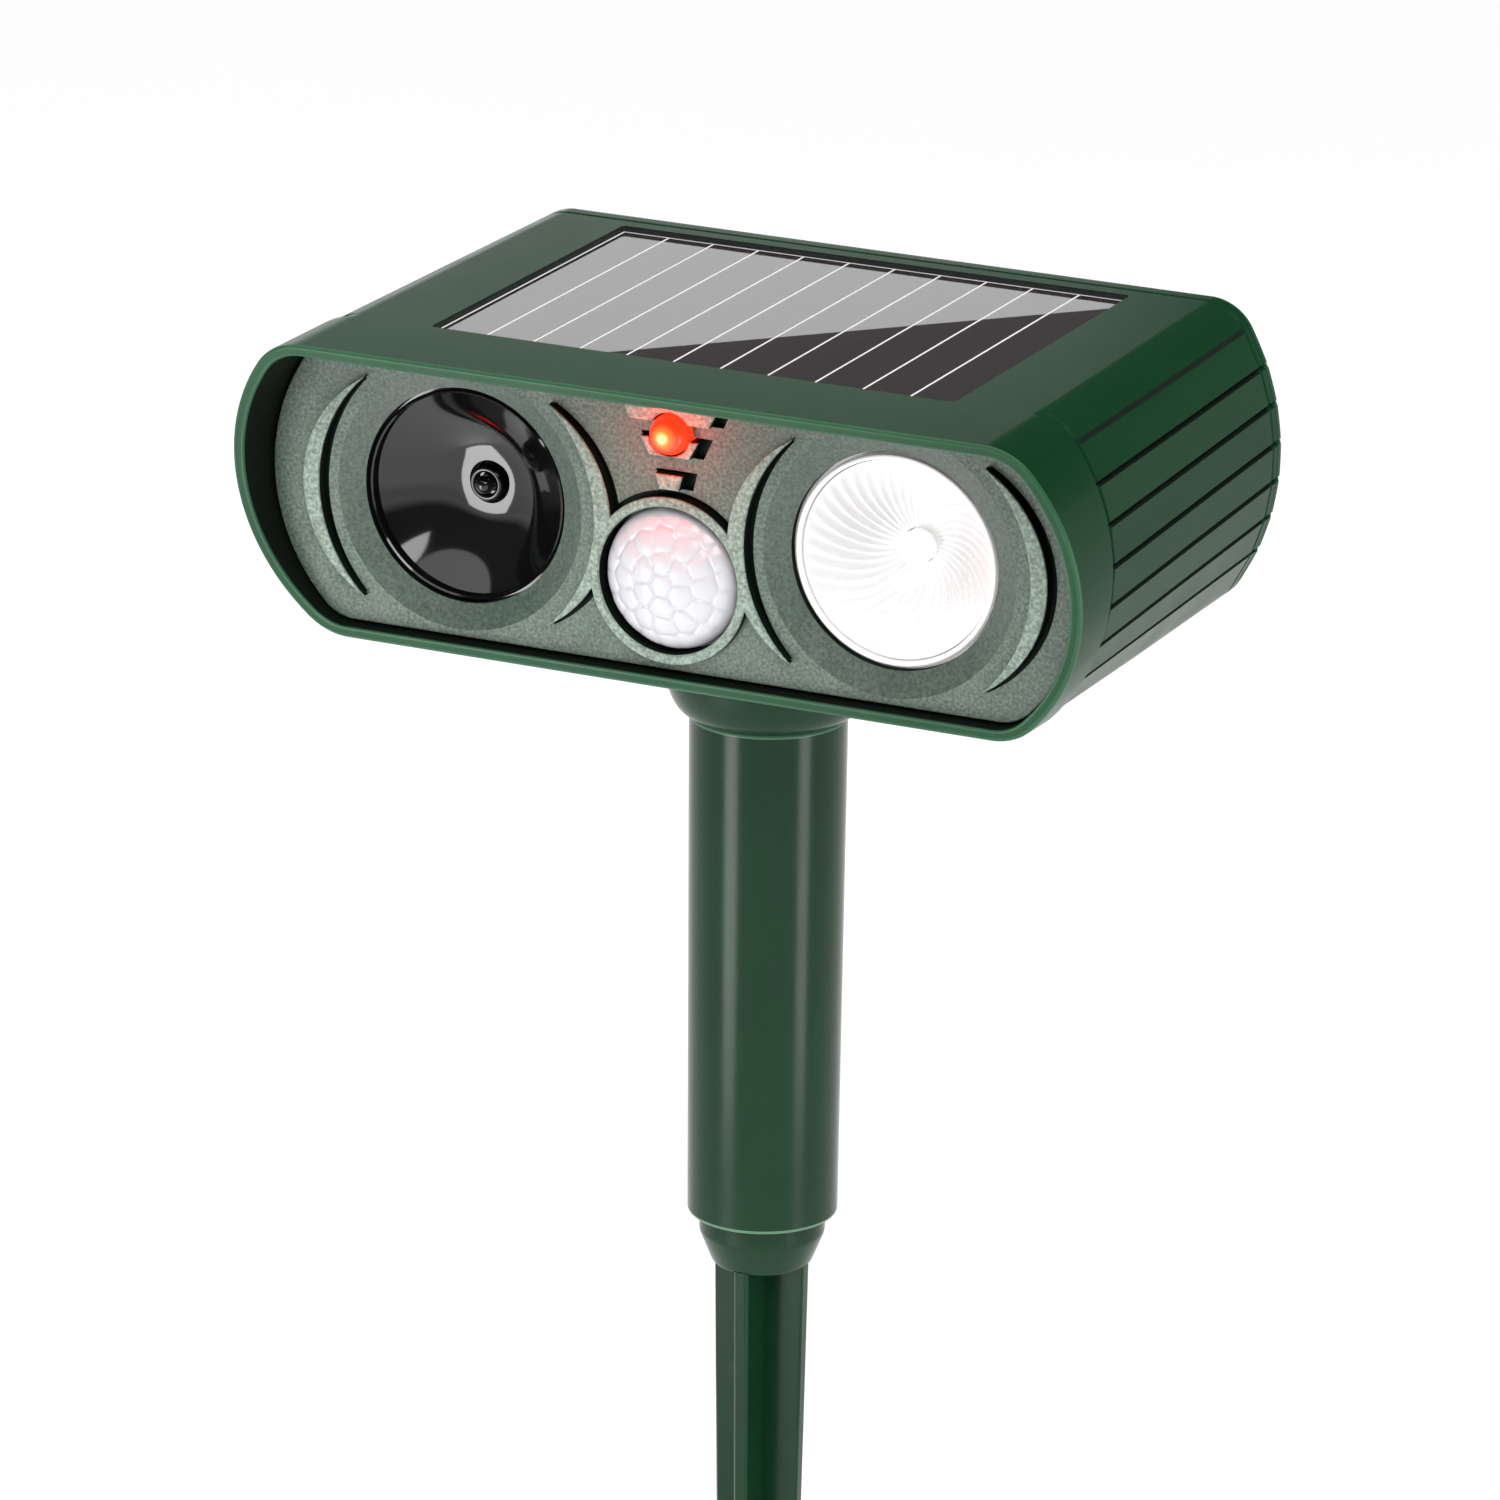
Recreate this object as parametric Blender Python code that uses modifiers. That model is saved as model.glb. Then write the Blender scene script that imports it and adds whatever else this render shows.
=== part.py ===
"""Solar ultrasonic pest repeller: a two-eyed head that swivels on a tube over a ground spike.

Metres, +Z up. The origin is on the tube's axis at the ground line, and the eyes look along -Y.
Every piece of the head is placed by its depth behind the hood's rim (towards +Y) and by its
height above the head's middle.
"""

import math

import bmesh
import bpy
from mathutils import Matrix, Vector

MM = 0.001

# Head: outline at the rim and at the back, and where the head stands over the origin.
HEAD_HEIGHT = 51.7 * MM
HEAD_DEPTH = 90.0 * MM
HEAD_MIDDLE_Z = 128.3 * MM
RIM_Y = -45.1 * MM
RIM_SLOPE = 0.22
FRONT_HALF_WIDTH = 74.3 * MM
REAR_HALF_WIDTH = 71.3 * MM
FRONT_SIDE_RADIUS = 34.0 * MM
REAR_SIDE_RADIUS = 42.0 * MM
FRONT_CORNER_RADIUS = 10.0 * MM
REAR_CORNER_RADIUS = 8.5 * MM
FRONT_BULGE_Z = 1.5 * MM
REAR_BULGE_Z = 0.5 * MM
WALL = 3.0 * MM
HOOD_WALL = 2.0 * MM
TOP_WALL = 3.5 * MM
GAP = 0.3 * MM

# Grip: the sides behind the hood step in and carry lengthwise grooves.
HOOD_DEPTH = 13.5 * MM
GRIP_STEP = 0.7 * MM
GRIP_FACETS = 7
GROOVE_DEPTH = 0.8 * MM
GROOVE_WIDTH = 1.1 * MM
CORNER_STEPS = 4

# Face panel and what shows in it.
FACE_DEPTH = 8.2 * MM
PANEL_THICKNESS = 3.2 * MM
EYE_X = 37.9 * MM
EYE_Z = -0.3 * MM
BEZEL_RADIUS = 21.9 * MM
EYE_RADIUS = 17.9 * MM
BEZEL_DEPTH = 2.0 * MM
SENSOR_Z = -8.2 * MM
SENSOR_RING_RADIUS = 13.85 * MM
SENSOR_HOLE_RADIUS = 12.2 * MM
RELIEF = 1.5 * MM
CRESCENT_RADIUS = 24.7 * MM
CRESCENT_WIDTH = 2.8 * MM
CRESCENT_SPAN = math.radians(48)
LED_Z = 16.0 * MM
LED_RADIUS = 3.3 * MM

# Solar panel on the top of the head.
SOLAR_HALF_WIDTH = 45.8 * MM
SOLAR_START = 14.2 * MM
SOLAR_END = 83.2 * MM
SOLAR_RECESS = 2.0 * MM
SOLAR_BOARD = 0.8 * MM
SOLAR_COVER = 0.6 * MM

# Neck, tube and spike.
TUBE_TOP_Z = 87.3 * MM
TUBE_TOP_RADIUS = 13.05 * MM
TUBE_FOOT_RADIUS = 12.5 * MM
TUBE_BORE = 11.0 * MM
TUBE_STOP_BORE = 9.2 * MM
TUBE_STOP_LOW = 47.0 * MM
TUBE_STOP_HIGH = 58.0 * MM
SPIGOT_RADIUS = 10.5 * MM
NECK_RADIUS = 17.8 * MM
NECK_FOOT_RADIUS = 13.3 * MM
O_RING_Z = 74.0 * MM
O_RING_WIRE = 0.8 * MM
SPIKE_SHOULDER_Z = -9.0 * MM
SPIKE_NECK_RADIUS = 8.3 * MM
SPIKE_LENGTH = 132.0 * MM
SPIKE_FIN = 2.6 * MM

# Back of the head.
SHELL_END = 86.4 * MM
CONTROL_Z = 6.5 * MM
KNOB_X = 27.0 * MM
BUTTON_X = 0.0
PORT_X = -27.0 * MM
PORT_Z = 4.0 * MM
KNOB_RADIUS = 8.0 * MM
BUTTON_RADIUS = 4.5 * MM
POCKET_DEPTH = 1.2 * MM
GASKET_INSET = 1.95 * MM
GASKET_WIDTH = 0.7 * MM

# Screws, cells and boards.
SCREW_SHANK = 1.2 * MM
SCREW_HEAD = 2.6 * MM
SCREW_HEAD_HEIGHT = 1.8 * MM
PILOT = 1.6 * MM
POST_RADIUS = 3.5 * MM
CELL_RADIUS = 7.1 * MM
CELL_LENGTH = 49.0 * MM
CELL_PITCH = 14.8 * MM
CELL_DEPTH = 57.6 * MM
CELL_Z = -10.6 * MM
BOARD_THICKNESS = 1.6 * MM
BOARD_Z = 0.6 * MM

UNDERSIDE_Z = HEAD_MIDDLE_Z - HEAD_HEIGHT / 2
FRONT = Matrix.Rotation(math.pi / 2, 4, "X")
FLAT = Matrix.Identity(4)


# ---------------------------------------------------------------- scene, materials, helpers


def clear_scene():
    for obj in list(bpy.data.objects):
        bpy.data.objects.remove(obj, do_unlink=True)


def new_collection(name):
    collection = bpy.data.collections.new(name)
    bpy.context.scene.collection.children.link(collection)
    return collection


def new_material(name, color, roughness, metallic=0.0):
    material = bpy.data.materials.new(name)
    material.use_nodes = True
    shader = material.node_tree.nodes["Principled BSDF"]
    shader.inputs["Base Color"].default_value = (*color, 1.0)
    shader.inputs["Roughness"].default_value = roughness
    shader.inputs["Metallic"].default_value = metallic
    material.diffuse_color = (*color, 1.0)
    return material


def in_head(x, depth, z):
    """A place in the head, by its depth behind the rim and its height over the middle."""
    return Vector((x, RIM_Y + depth, HEAD_MIDDLE_Z + z))


def place(name, mesh, collection, material, matrix):
    obj = bpy.data.objects.new(name, mesh)
    obj.matrix_world = matrix
    collection.objects.link(obj)
    if material:
        mesh.materials.append(material)
    return obj


def solid(name, bm, material, matrix=FLAT, helper=False):
    """Turns a bmesh into a part, or into a cutter or other helper."""
    bmesh.ops.recalc_face_normals(bm, faces=bm.faces)
    mesh = bpy.data.meshes.new(name)
    bm.to_mesh(mesh)
    bm.free()
    mesh.shade_smooth()
    mesh.set_sharp_from_angle(angle=math.radians(35))
    obj = place(name, mesh, CUTTERS if helper else PARTS, material, matrix)
    if helper:
        obj.hide_render = True
        obj.display_type = "WIRE"
    return obj


def turned(name, profile, material, matrix=FLAT, segments=32, ring=False):
    """A profile of (radius, height) points turned about its own Z, running down its outer side."""
    mesh = bpy.data.meshes.new(name)
    points = [(radius, 0.0, height) for radius, height in profile]
    edges = [(i, i + 1) for i in range(len(points) - 1)]
    if ring:
        edges.append((len(points) - 1, 0))
    mesh.from_pydata(points, edges, [])
    obj = place(name, mesh, PARTS, material, matrix)
    screw = obj.modifiers.new("Turn", "SCREW")
    screw.steps = segments
    screw.render_steps = segments
    screw.use_merge_vertices = True
    screw.merge_threshold = 0.00001
    return obj


def boolean(obj, other, operation):
    modifier = obj.modifiers.new(other.name, "BOOLEAN")
    modifier.operation = operation
    modifier.object = other
    modifier.solver = "EXACT"


def cut(obj, name, build, matrix=FLAT):
    """Cuts from obj the shape that build adds to an empty bmesh."""
    bm = bmesh.new()
    build(bm)
    boolean(obj, solid(name, bm, None, matrix, helper=True), "DIFFERENCE")


def join(obj, name, build, matrix=FLAT):
    """Joins to obj the shape that build adds to an empty bmesh."""
    bm = bmesh.new()
    build(bm)
    boolean(obj, solid(name, bm, None, matrix, helper=True), "UNION")


def add_box(bm, low, high):
    low = Vector(low)
    high = Vector(high)
    size = high - low
    matrix = Matrix.Translation((low + high) / 2) @ Matrix.Diagonal((*size, 1.0))
    bmesh.ops.create_cube(bm, size=1.0, matrix=matrix)


def add_cylinder(bm, start, end, radius, end_radius=None, segments=12):
    start = Vector(start)
    end = Vector(end)
    direction = end - start
    turn = direction.to_track_quat("Z", "Y").to_matrix().to_4x4()
    bmesh.ops.create_cone(
        bm,
        cap_ends=True,
        segments=segments,
        radius1=radius,
        radius2=radius if end_radius is None else end_radius,
        depth=direction.length,
        matrix=Matrix.Translation((start + end) / 2) @ turn,
    )


def add_loft(bm, rings, closed_loop=False):
    """Skins rings of points: capped at both ends, or joined last to first."""
    rows = [[bm.verts.new(point) for point in ring] for ring in rings]
    count = len(rows[0])
    pairs = list(zip(rows, rows[1:]))
    if closed_loop:
        pairs.append((rows[-1], rows[0]))
    for row, other in pairs:
        for i in range(count):
            j = (i + 1) % count
            bm.faces.new((row[i], row[j], other[j], other[i]))
    if not closed_loop:
        bm.faces.new(rows[0])
        bm.faces.new(rows[-1])


def add_prism(bm, outline, start, end):
    """An outline of (x, z) points, drawn out from one depth to another."""
    add_loft(bm, [[(x, depth, z) for x, z in outline] for depth in (start, end)])


def arc(centre, radius, start, end, steps):
    angles = [start + (end - start) * i / steps for i in range(steps + 1)]
    return [
        (centre[0] + radius * math.cos(a), centre[1] + radius * math.sin(a)) for a in angles
    ]


def wire(name, points, radius, material):
    """A wire along a smooth curve through the points."""
    curve = bpy.data.curves.new(name, "CURVE")
    curve.dimensions = "3D"
    curve.bevel_depth = radius
    curve.bevel_resolution = 0
    curve.use_fill_caps = True
    smooth = smooth_points([Vector(point) for point in points], 4)
    spline = curve.splines.new("POLY")
    spline.points.add(len(smooth) - 1)
    for target, point in zip(spline.points, smooth):
        target.co = (*point, 1.0)
    obj = bpy.data.objects.new(name, curve)
    curve.materials.append(material)
    PARTS.objects.link(obj)
    return obj


def smooth_points(points, steps):
    """Catmull-Rom curve through the points."""
    padded = [points[0] * 2 - points[1], *points, points[-1] * 2 - points[-2]]
    found = []
    for a, b, c, d in zip(padded, padded[1:], padded[2:], padded[3:]):
        for i in range(steps):
            t = i / steps
            found.append(
                0.5
                * (
                    2 * b
                    + (c - a) * t
                    + (2 * a - 5 * b + 4 * c - d) * t**2
                    + (3 * b - a - 3 * c + d) * t**3
                )
            )
    return [*found, points[-1]]


# ---------------------------------------------------------------- head outline


def between(front, rear, depth):
    return front + (rear - front) * depth / HEAD_DEPTH


def head_outline(depth, inset=0.0, top_inset=None, grip=False):
    """The head's closed (x, z) outline at a depth: flat top and bottom, and bulging sides.

    Inset moves it inwards all round. Grip steps the sides in and adds the grooves.
    """
    half_width = between(FRONT_HALF_WIDTH, REAR_HALF_WIDTH, depth) - inset
    side = between(FRONT_SIDE_RADIUS, REAR_SIDE_RADIUS, depth) - inset
    corner = between(FRONT_CORNER_RADIUS, REAR_CORNER_RADIUS, depth) - inset
    bulge = between(FRONT_BULGE_Z, REAR_BULGE_Z, depth)
    top = HEAD_HEIGHT / 2 - (inset if top_inset is None else top_inset)
    bottom = -HEAD_HEIGHT / 2 + inset
    centre_x = half_width - side
    high_z = top - corner
    low_z = bottom + corner
    high_x = centre_x + math.sqrt((side - corner) ** 2 - (high_z - bulge) ** 2)
    low_x = centre_x + math.sqrt((side - corner) ** 2 - (low_z - bulge) ** 2)
    high_angle = math.atan2(high_z - bulge, high_x - centre_x)
    low_angle = math.atan2(low_z - bulge, low_x - centre_x)
    right = arc((high_x, high_z), corner, math.pi / 2, high_angle, CORNER_STEPS)
    groove = GROOVE_WIDTH / side / 2
    for i in range(1, GRIP_FACETS):
        angle = high_angle + (low_angle - high_angle) * i / GRIP_FACETS
        for offset, depth_in in ((groove, 0.0), (0.0, GROOVE_DEPTH), (-groove, 0.0)):
            radius = side - (GRIP_STEP + depth_in if grip else 0.0)
            turned_by = angle + offset
            x = centre_x + radius * math.cos(turned_by)
            right.append((x, bulge + radius * math.sin(turned_by)))
    right += arc((low_x, low_z), corner, low_angle, -math.pi / 2, CORNER_STEPS)
    left = [(-x, z) for x, z in reversed(right)]
    return right + left


def ring_at(depth, lean=0.0, **options):
    """The outline as a ring of points; lean tilts it, its top forward and its bottom back."""
    return [(x, depth - lean * z, z) for x, z in head_outline(depth, **options)]


HEAD = Matrix.Translation(in_head(0.0, 0.0, 0.0))
FRONT_POSTS = [(x * 61.5 * MM, z * 14.0 * MM) for x in (-1, 1) for z in (-1, 1)]
REAR_POSTS = [(x * 59.8 * MM, z * 13.0 * MM) for x in (-1, 1) for z in (-1, 1)]
NECK_SCREWS = [
    (9.0 * MM * math.cos(angle), 9.0 * MM * math.sin(angle))
    for angle in (math.radians(90 + 120 * i) for i in range(3))
]
FRONT_POST_START = 15.7 * MM
FRONT_POST_END = 21.3 * MM
REAR_POST_START = 70.0 * MM


# ---------------------------------------------------------------- head mouldings


def make_head_shell(material):
    rings = [
        ring_at(0.0, lean=RIM_SLOPE, inset=0.4 * MM),
        ring_at(0.5 * MM, lean=RIM_SLOPE),
        ring_at(HOOD_DEPTH),
        ring_at(HOOD_DEPTH + 0.6 * MM, grip=True),
        ring_at(SHELL_END, grip=True),
        ring_at(SHELL_END, inset=WALL, top_inset=TOP_WALL),
        ring_at(13.2 * MM, inset=WALL, top_inset=TOP_WALL),
        ring_at(12.0 * MM, inset=HOOD_WALL),
        ring_at(0.4 * MM, lean=RIM_SLOPE, inset=HOOD_WALL),
        ring_at(0.0, lean=RIM_SLOPE, inset=HOOD_WALL - 0.4 * MM),
    ]
    bm = bmesh.new()
    add_loft(bm, rings, closed_loop=True)
    shell = solid("head_shell", bm, material, HEAD)

    def posts(bm):
        for x, z in FRONT_POSTS:
            add_cylinder(bm, (x, FRONT_POST_START, z), (x, FRONT_POST_END, z), POST_RADIUS)
        for x, z in REAR_POSTS:
            add_cylinder(bm, (x, REAR_POST_START, z), (x, SHELL_END, z), POST_RADIUS)

    def post_ribs(bm):
        spans = ((FRONT_POSTS, FRONT_POST_START, FRONT_POST_END, 7.0 * MM),)
        spans += ((REAR_POSTS, REAR_POST_START, SHELL_END - 9.0 * MM, 7.5 * MM),)
        for places, start, end, reach in spans:
            for x, z in places:
                side = math.copysign(1.0, x)
                near, far = sorted((x + side * 2.0 * MM, x + side * reach))
                add_box(bm, (near, start, z - MM), (far, end - 0.5 * MM, z + MM))

    def holes(bm):
        for x, z in FRONT_POSTS:
            add_cylinder(bm, (x, FRONT_POST_START - MM, z), (x, FRONT_POST_END + MM, z), PILOT)
        for x, z in REAR_POSTS:
            add_cylinder(bm, (x, REAR_POST_START + 2 * MM, z), (x, SHELL_END + MM, z), PILOT)
        for x, y in NECK_SCREWS:
            low = (x, y - RIM_Y, -HEAD_HEIGHT / 2 - MM)
            high = (x, y - RIM_Y, -HEAD_HEIGHT / 2 + WALL + MM)
            add_cylinder(bm, low, high, PILOT)

    def recess(bm):
        low = (-SOLAR_HALF_WIDTH - GAP, SOLAR_START - GAP, HEAD_HEIGHT / 2 - SOLAR_RECESS)
        high = (SOLAR_HALF_WIDTH + GAP, SOLAR_END + GAP, HEAD_HEIGHT / 2 + MM)
        add_box(bm, low, high)

    def lead_hole(bm):
        low = (0.0, 68.0 * MM, HEAD_HEIGHT / 2 - TOP_WALL - MM)
        high = (0.0, 68.0 * MM, HEAD_HEIGHT / 2 - SOLAR_RECESS + 0.5 * MM)
        add_cylinder(bm, low, high, 2.0 * MM)

    join(shell, "shell_posts", posts, HEAD)
    join(shell, "shell_post_ribs", post_ribs, HEAD)
    cut(shell, "shell_holes", holes, HEAD)
    cut(shell, "solar_recess", recess, HEAD)
    cut(shell, "solar_lead_hole", lead_hole, HEAD)


def crescent(eye_x, direction):
    """A crescent beside an eye: thickest at its middle and pointed at both ends."""
    steps = 8
    inner = []
    outer = []
    for i in range(steps + 1):
        angle = CRESCENT_SPAN * (2 * i / steps - 1)
        width = CRESCENT_WIDTH * math.cos(math.pi / 2 * angle / CRESCENT_SPAN) + 0.15 * MM
        for radius, points in ((CRESCENT_RADIUS, inner), (CRESCENT_RADIUS + width, outer)):
            x = eye_x + direction * radius * math.cos(angle)
            points.append((x, EYE_Z + radius * math.sin(angle)))
    return inner + outer[::-1]


# Funnel blocks over the sensor: bottom, top, half width at the bottom, half width at the top.
FUNNEL_BLOCKS = [
    (17.9 * MM, 20.9 * MM, 6.9 * MM, 8.5 * MM),
    (12.3 * MM, 15.3 * MM, 3.5 * MM, 5.1 * MM),
    (6.9 * MM, 9.4 * MM, 1.7 * MM, 2.4 * MM),
]


def make_face_panel(material):
    back = FACE_DEPTH + PANEL_THICKNESS
    edge = HOOD_WALL + GAP
    bm = bmesh.new()
    add_loft(bm, [ring_at(FACE_DEPTH, inset=edge), ring_at(back, inset=edge)])
    panel = solid("face_panel", bm, material, HEAD)
    proud = FACE_DEPTH - RELIEF
    sunk = FACE_DEPTH + 0.5 * MM

    def raised(bm):
        for eye_x in (-EYE_X, EYE_X):
            add_prism(bm, crescent(eye_x, math.copysign(1.0, eye_x)), proud, sunk)

    def raised_inner(bm):
        for eye_x in (-EYE_X, EYE_X):
            add_prism(bm, crescent(eye_x, -math.copysign(1.0, eye_x)), proud, sunk)

    def blocks(bm):
        for low, high, half_low, half_high in FUNNEL_BLOCKS:
            outline = [(half_high, high), (half_low, low), (-half_low, low), (-half_high, high)]
            add_prism(bm, outline, proud, sunk)

    def sensor_ring(bm):
        low = (0.0, proud, SENSOR_Z)
        add_cylinder(bm, low, (0.0, sunk, SENSOR_Z), SENSOR_RING_RADIUS, segments=36)

    def bosses(bm):
        for x, z in FRONT_POSTS:
            start = (x, back - MM, z)
            add_cylinder(bm, start, (x, FRONT_POST_START - GAP, z), 2.7 * MM)

    def eyes(bm):
        lead = 0.2 * MM
        mouth = BEZEL_RADIUS + lead * (BEZEL_RADIUS - EYE_RADIUS) / BEZEL_DEPTH
        for x in (-EYE_X, EYE_X):
            start = (x, FACE_DEPTH - lead, EYE_Z)
            end = (x, FACE_DEPTH + BEZEL_DEPTH, EYE_Z)
            add_cylinder(bm, start, end, mouth, EYE_RADIUS, segments=40)

    def eye_holes(bm):
        for x in (-EYE_X, EYE_X):
            start = (x, FACE_DEPTH + MM, EYE_Z)
            add_cylinder(bm, start, (x, back + MM, EYE_Z), EYE_RADIUS, segments=40)

    def small_holes(bm):
        start = (0.0, proud - MM, SENSOR_Z)
        add_cylinder(bm, start, (0.0, back + MM, SENSOR_Z), SENSOR_HOLE_RADIUS, segments=36)
        start = (0.0, proud - MM, LED_Z)
        add_cylinder(bm, start, (0.0, back + MM, LED_Z), LED_RADIUS + GAP, segments=16)
        for x, z in FRONT_POSTS:
            start = (x, back - MM, z)
            add_cylinder(bm, start, (x, FRONT_POST_START + MM, z), PILOT)

    join(panel, "outer_crescents", raised, HEAD)
    join(panel, "inner_crescents", raised_inner, HEAD)
    join(panel, "sensor_ring", sensor_ring, HEAD)
    join(panel, "funnel_blocks", blocks, HEAD)
    join(panel, "panel_bosses", bosses, HEAD)
    cut(panel, "eye_cones", eyes, HEAD)
    cut(panel, "eye_holes", eye_holes, HEAD)
    cut(panel, "panel_holes", small_holes, HEAD)


def make_rear_cover(material):
    start = SHELL_END + GAP
    bm = bmesh.new()
    rings = [
        ring_at(start, grip=True),
        ring_at(HEAD_DEPTH - 0.8 * MM, grip=True),
        ring_at(HEAD_DEPTH, inset=0.9 * MM),
    ]
    add_loft(bm, rings)
    cover = solid("rear_cover", bm, material, HEAD)

    def lip(bm):
        outer = WALL + GAP
        inner = outer + 1.5 * MM
        top = TOP_WALL + GAP
        depths = (start - 3.0 * MM, start + 0.5 * MM)
        outside = [ring_at(d, inset=outer, top_inset=top) for d in depths]
        inside = [ring_at(d, inset=inner, top_inset=top + 1.5 * MM) for d in reversed(depths)]
        add_loft(bm, outside + inside, closed_loop=True)

    def groove(bm):
        depths = (start - 0.2 * MM, start + 1.3 * MM)
        outside = [ring_at(d, inset=GASKET_INSET - 0.2 * MM) for d in depths]
        reach = GASKET_INSET + GASKET_WIDTH + 0.2 * MM
        inside = [ring_at(d, inset=reach) for d in reversed(depths)]
        add_loft(bm, outside + inside, closed_loop=True)

    def screw_holes(bm):
        for x, z in REAR_POSTS:
            add_cylinder(bm, (x, start - 4 * MM, z), (x, HEAD_DEPTH + MM, z), PILOT)

    def screw_wells(bm):
        for x, z in REAR_POSTS:
            well = HEAD_DEPTH - SCREW_HEAD_HEIGHT - 0.2 * MM
            add_cylinder(bm, (x, well, z), (x, HEAD_DEPTH + MM, z), SCREW_HEAD + GAP)

    def post_room(bm):
        for x, z in REAR_POSTS:
            end = (x, start + 0.15 * MM, z)
            add_cylinder(bm, (x, start - 4 * MM, z), end, POST_RADIUS + GAP)

    def pocket(bm):
        low = (-42.0 * MM, HEAD_DEPTH - POCKET_DEPTH, CONTROL_Z - 11.5 * MM)
        add_box(bm, low, (42.0 * MM, HEAD_DEPTH + MM, CONTROL_Z + 11.5 * MM))

    def control_holes(bm):
        for x, radius in ((KNOB_X, 3.4 * MM), (BUTTON_X, BUTTON_RADIUS + GAP)):
            end = (x, HEAD_DEPTH + MM, CONTROL_Z)
            add_cylinder(bm, (x, start - MM, CONTROL_Z), end, radius)
        low = (PORT_X - 4.6 * MM, start - MM, PORT_Z - 1.95 * MM)
        add_box(bm, low, (PORT_X + 4.6 * MM, HEAD_DEPTH + MM, PORT_Z + 1.95 * MM))

    join(cover, "cover_lip", lip, HEAD)
    cut(cover, "lip_post_room", post_room, HEAD)
    cut(cover, "gasket_groove", groove, HEAD)
    cut(cover, "cover_screw_holes", screw_holes, HEAD)
    cut(cover, "cover_screw_wells", screw_wells, HEAD)
    cut(cover, "control_pocket", pocket, HEAD)
    cut(cover, "control_holes", control_holes, HEAD)


def make_gasket(material):
    start = SHELL_END + GAP
    depths = (start, start + 0.9 * MM)
    outside = [ring_at(d, inset=GASKET_INSET) for d in depths]
    inside = [ring_at(d, inset=GASKET_INSET + GASKET_WIDTH) for d in reversed(depths)]
    bm = bmesh.new()
    add_loft(bm, outside + inside, closed_loop=True)
    solid("cover_gasket", bm, material, HEAD)


# ---------------------------------------------------------------- face fittings


def make_speaker(dish_material, plug_material, driver_material):
    """The horn dish with its collar and flange, the plug in its middle and the driver behind."""
    centre = Matrix.Translation(in_head(-EYE_X, 0.0, EYE_Z)) @ FRONT
    front = -(FACE_DEPTH + BEZEL_DEPTH + 0.2 * MM)
    flange = -(FACE_DEPTH + PANEL_THICKNESS + GAP)
    rim = 16.9 * MM
    dish_start = front - 2.2 * MM
    dish_end = -18.9 * MM
    throat = 4.2 * MM
    steps = 6
    dish = []
    for i in range(steps + 1):
        part = i / steps
        radius = rim + (throat - rim) * part
        dish.append((radius, dish_start + (dish_end - dish_start) * math.sin(math.pi / 2 * part)))
    back = [
        (rim + 0.6 * MM, front),
        (rim + 0.6 * MM, flange),
        (20.0 * MM, flange),
        (20.0 * MM, flange - 1.4 * MM),
        (17.6 * MM, flange - 1.4 * MM),
        (11.0 * MM, dish_end - 1.4 * MM),
        (throat, dish_end - 1.4 * MM),
    ]
    profile = [*back, *reversed(dish), (rim, front)]
    turned("speaker_horn", profile, dish_material, centre, segments=36, ring=True)
    plug = [(0.0, 3.1 * MM)]
    plug += arc((0.0, 0.2 * MM), 2.9 * MM, math.radians(75), 0.0, 5)
    plug += [(2.9 * MM, -3.4 * MM), (0.0, -3.4 * MM)]
    seat = Matrix.Translation(in_head(-EYE_X, -dish_end - 0.4 * MM, EYE_Z)) @ FRONT
    turned("phase_plug", plug, plug_material, seat, segments=16)
    top = dish_end - 1.7 * MM
    can = [
        (0.0, top - 2.2 * MM),
        (3.4 * MM, top - 2.2 * MM),
        (3.4 * MM, top),
        (12.0 * MM, top),
        (13.0 * MM, top - 1.0 * MM),
        (13.0 * MM, top - 9.0 * MM),
        (0.0, top - 9.0 * MM),
    ]
    turned("speaker_driver", can, driver_material, centre, segments=24)


def make_strobe(reflector_material, led_material, board_material):
    """The fluted reflector, the emitter in its middle and the board that carries it."""
    centre = Matrix.Translation(in_head(EYE_X, 0.0, EYE_Z)) @ FRONT
    front = -(FACE_DEPTH + BEZEL_DEPTH + 0.2 * MM)
    flange = -(FACE_DEPTH + PANEL_THICKNESS + GAP)
    floor = -19.8 * MM
    rim = 16.3 * MM
    throat = 3.4 * MM
    steps = 5
    bowl = []
    for i in range(steps + 1):
        radius = throat + (rim - throat) * i / steps
        share = (radius**2 - throat**2) / (rim**2 - throat**2)
        bowl.append((radius, floor + (front - 0.5 * MM - floor) * share))
    back = [
        (17.5 * MM, front),
        (17.5 * MM, flange),
        (20.0 * MM, flange),
        (20.0 * MM, flange - 1.4 * MM),
        (17.6 * MM, flange - 1.4 * MM),
        (8.0 * MM, floor - 1.4 * MM),
        (throat, floor - 1.4 * MM),
    ]
    profile = [*back, *bowl, (rim + 0.2 * MM, front)]
    turned("strobe_reflector", profile, reflector_material, centre, segments=36, ring=True)
    base = floor - 1.7 * MM
    led = [(0.0, base + 6.0 * MM)]
    led += arc((0.0, base + 3.2 * MM), 2.8 * MM, math.radians(72), 0.0, 4)
    led += [(2.8 * MM, base), (0.0, base)]
    turned("strobe_led", led, led_material, centre, segments=16)
    top = base - GAP
    board = [(0.0, top), (10.0 * MM, top), (10.0 * MM, top - 1.6 * MM), (0.0, top - 1.6 * MM)]
    turned("strobe_board", board, board_material, centre, segments=20)


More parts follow.
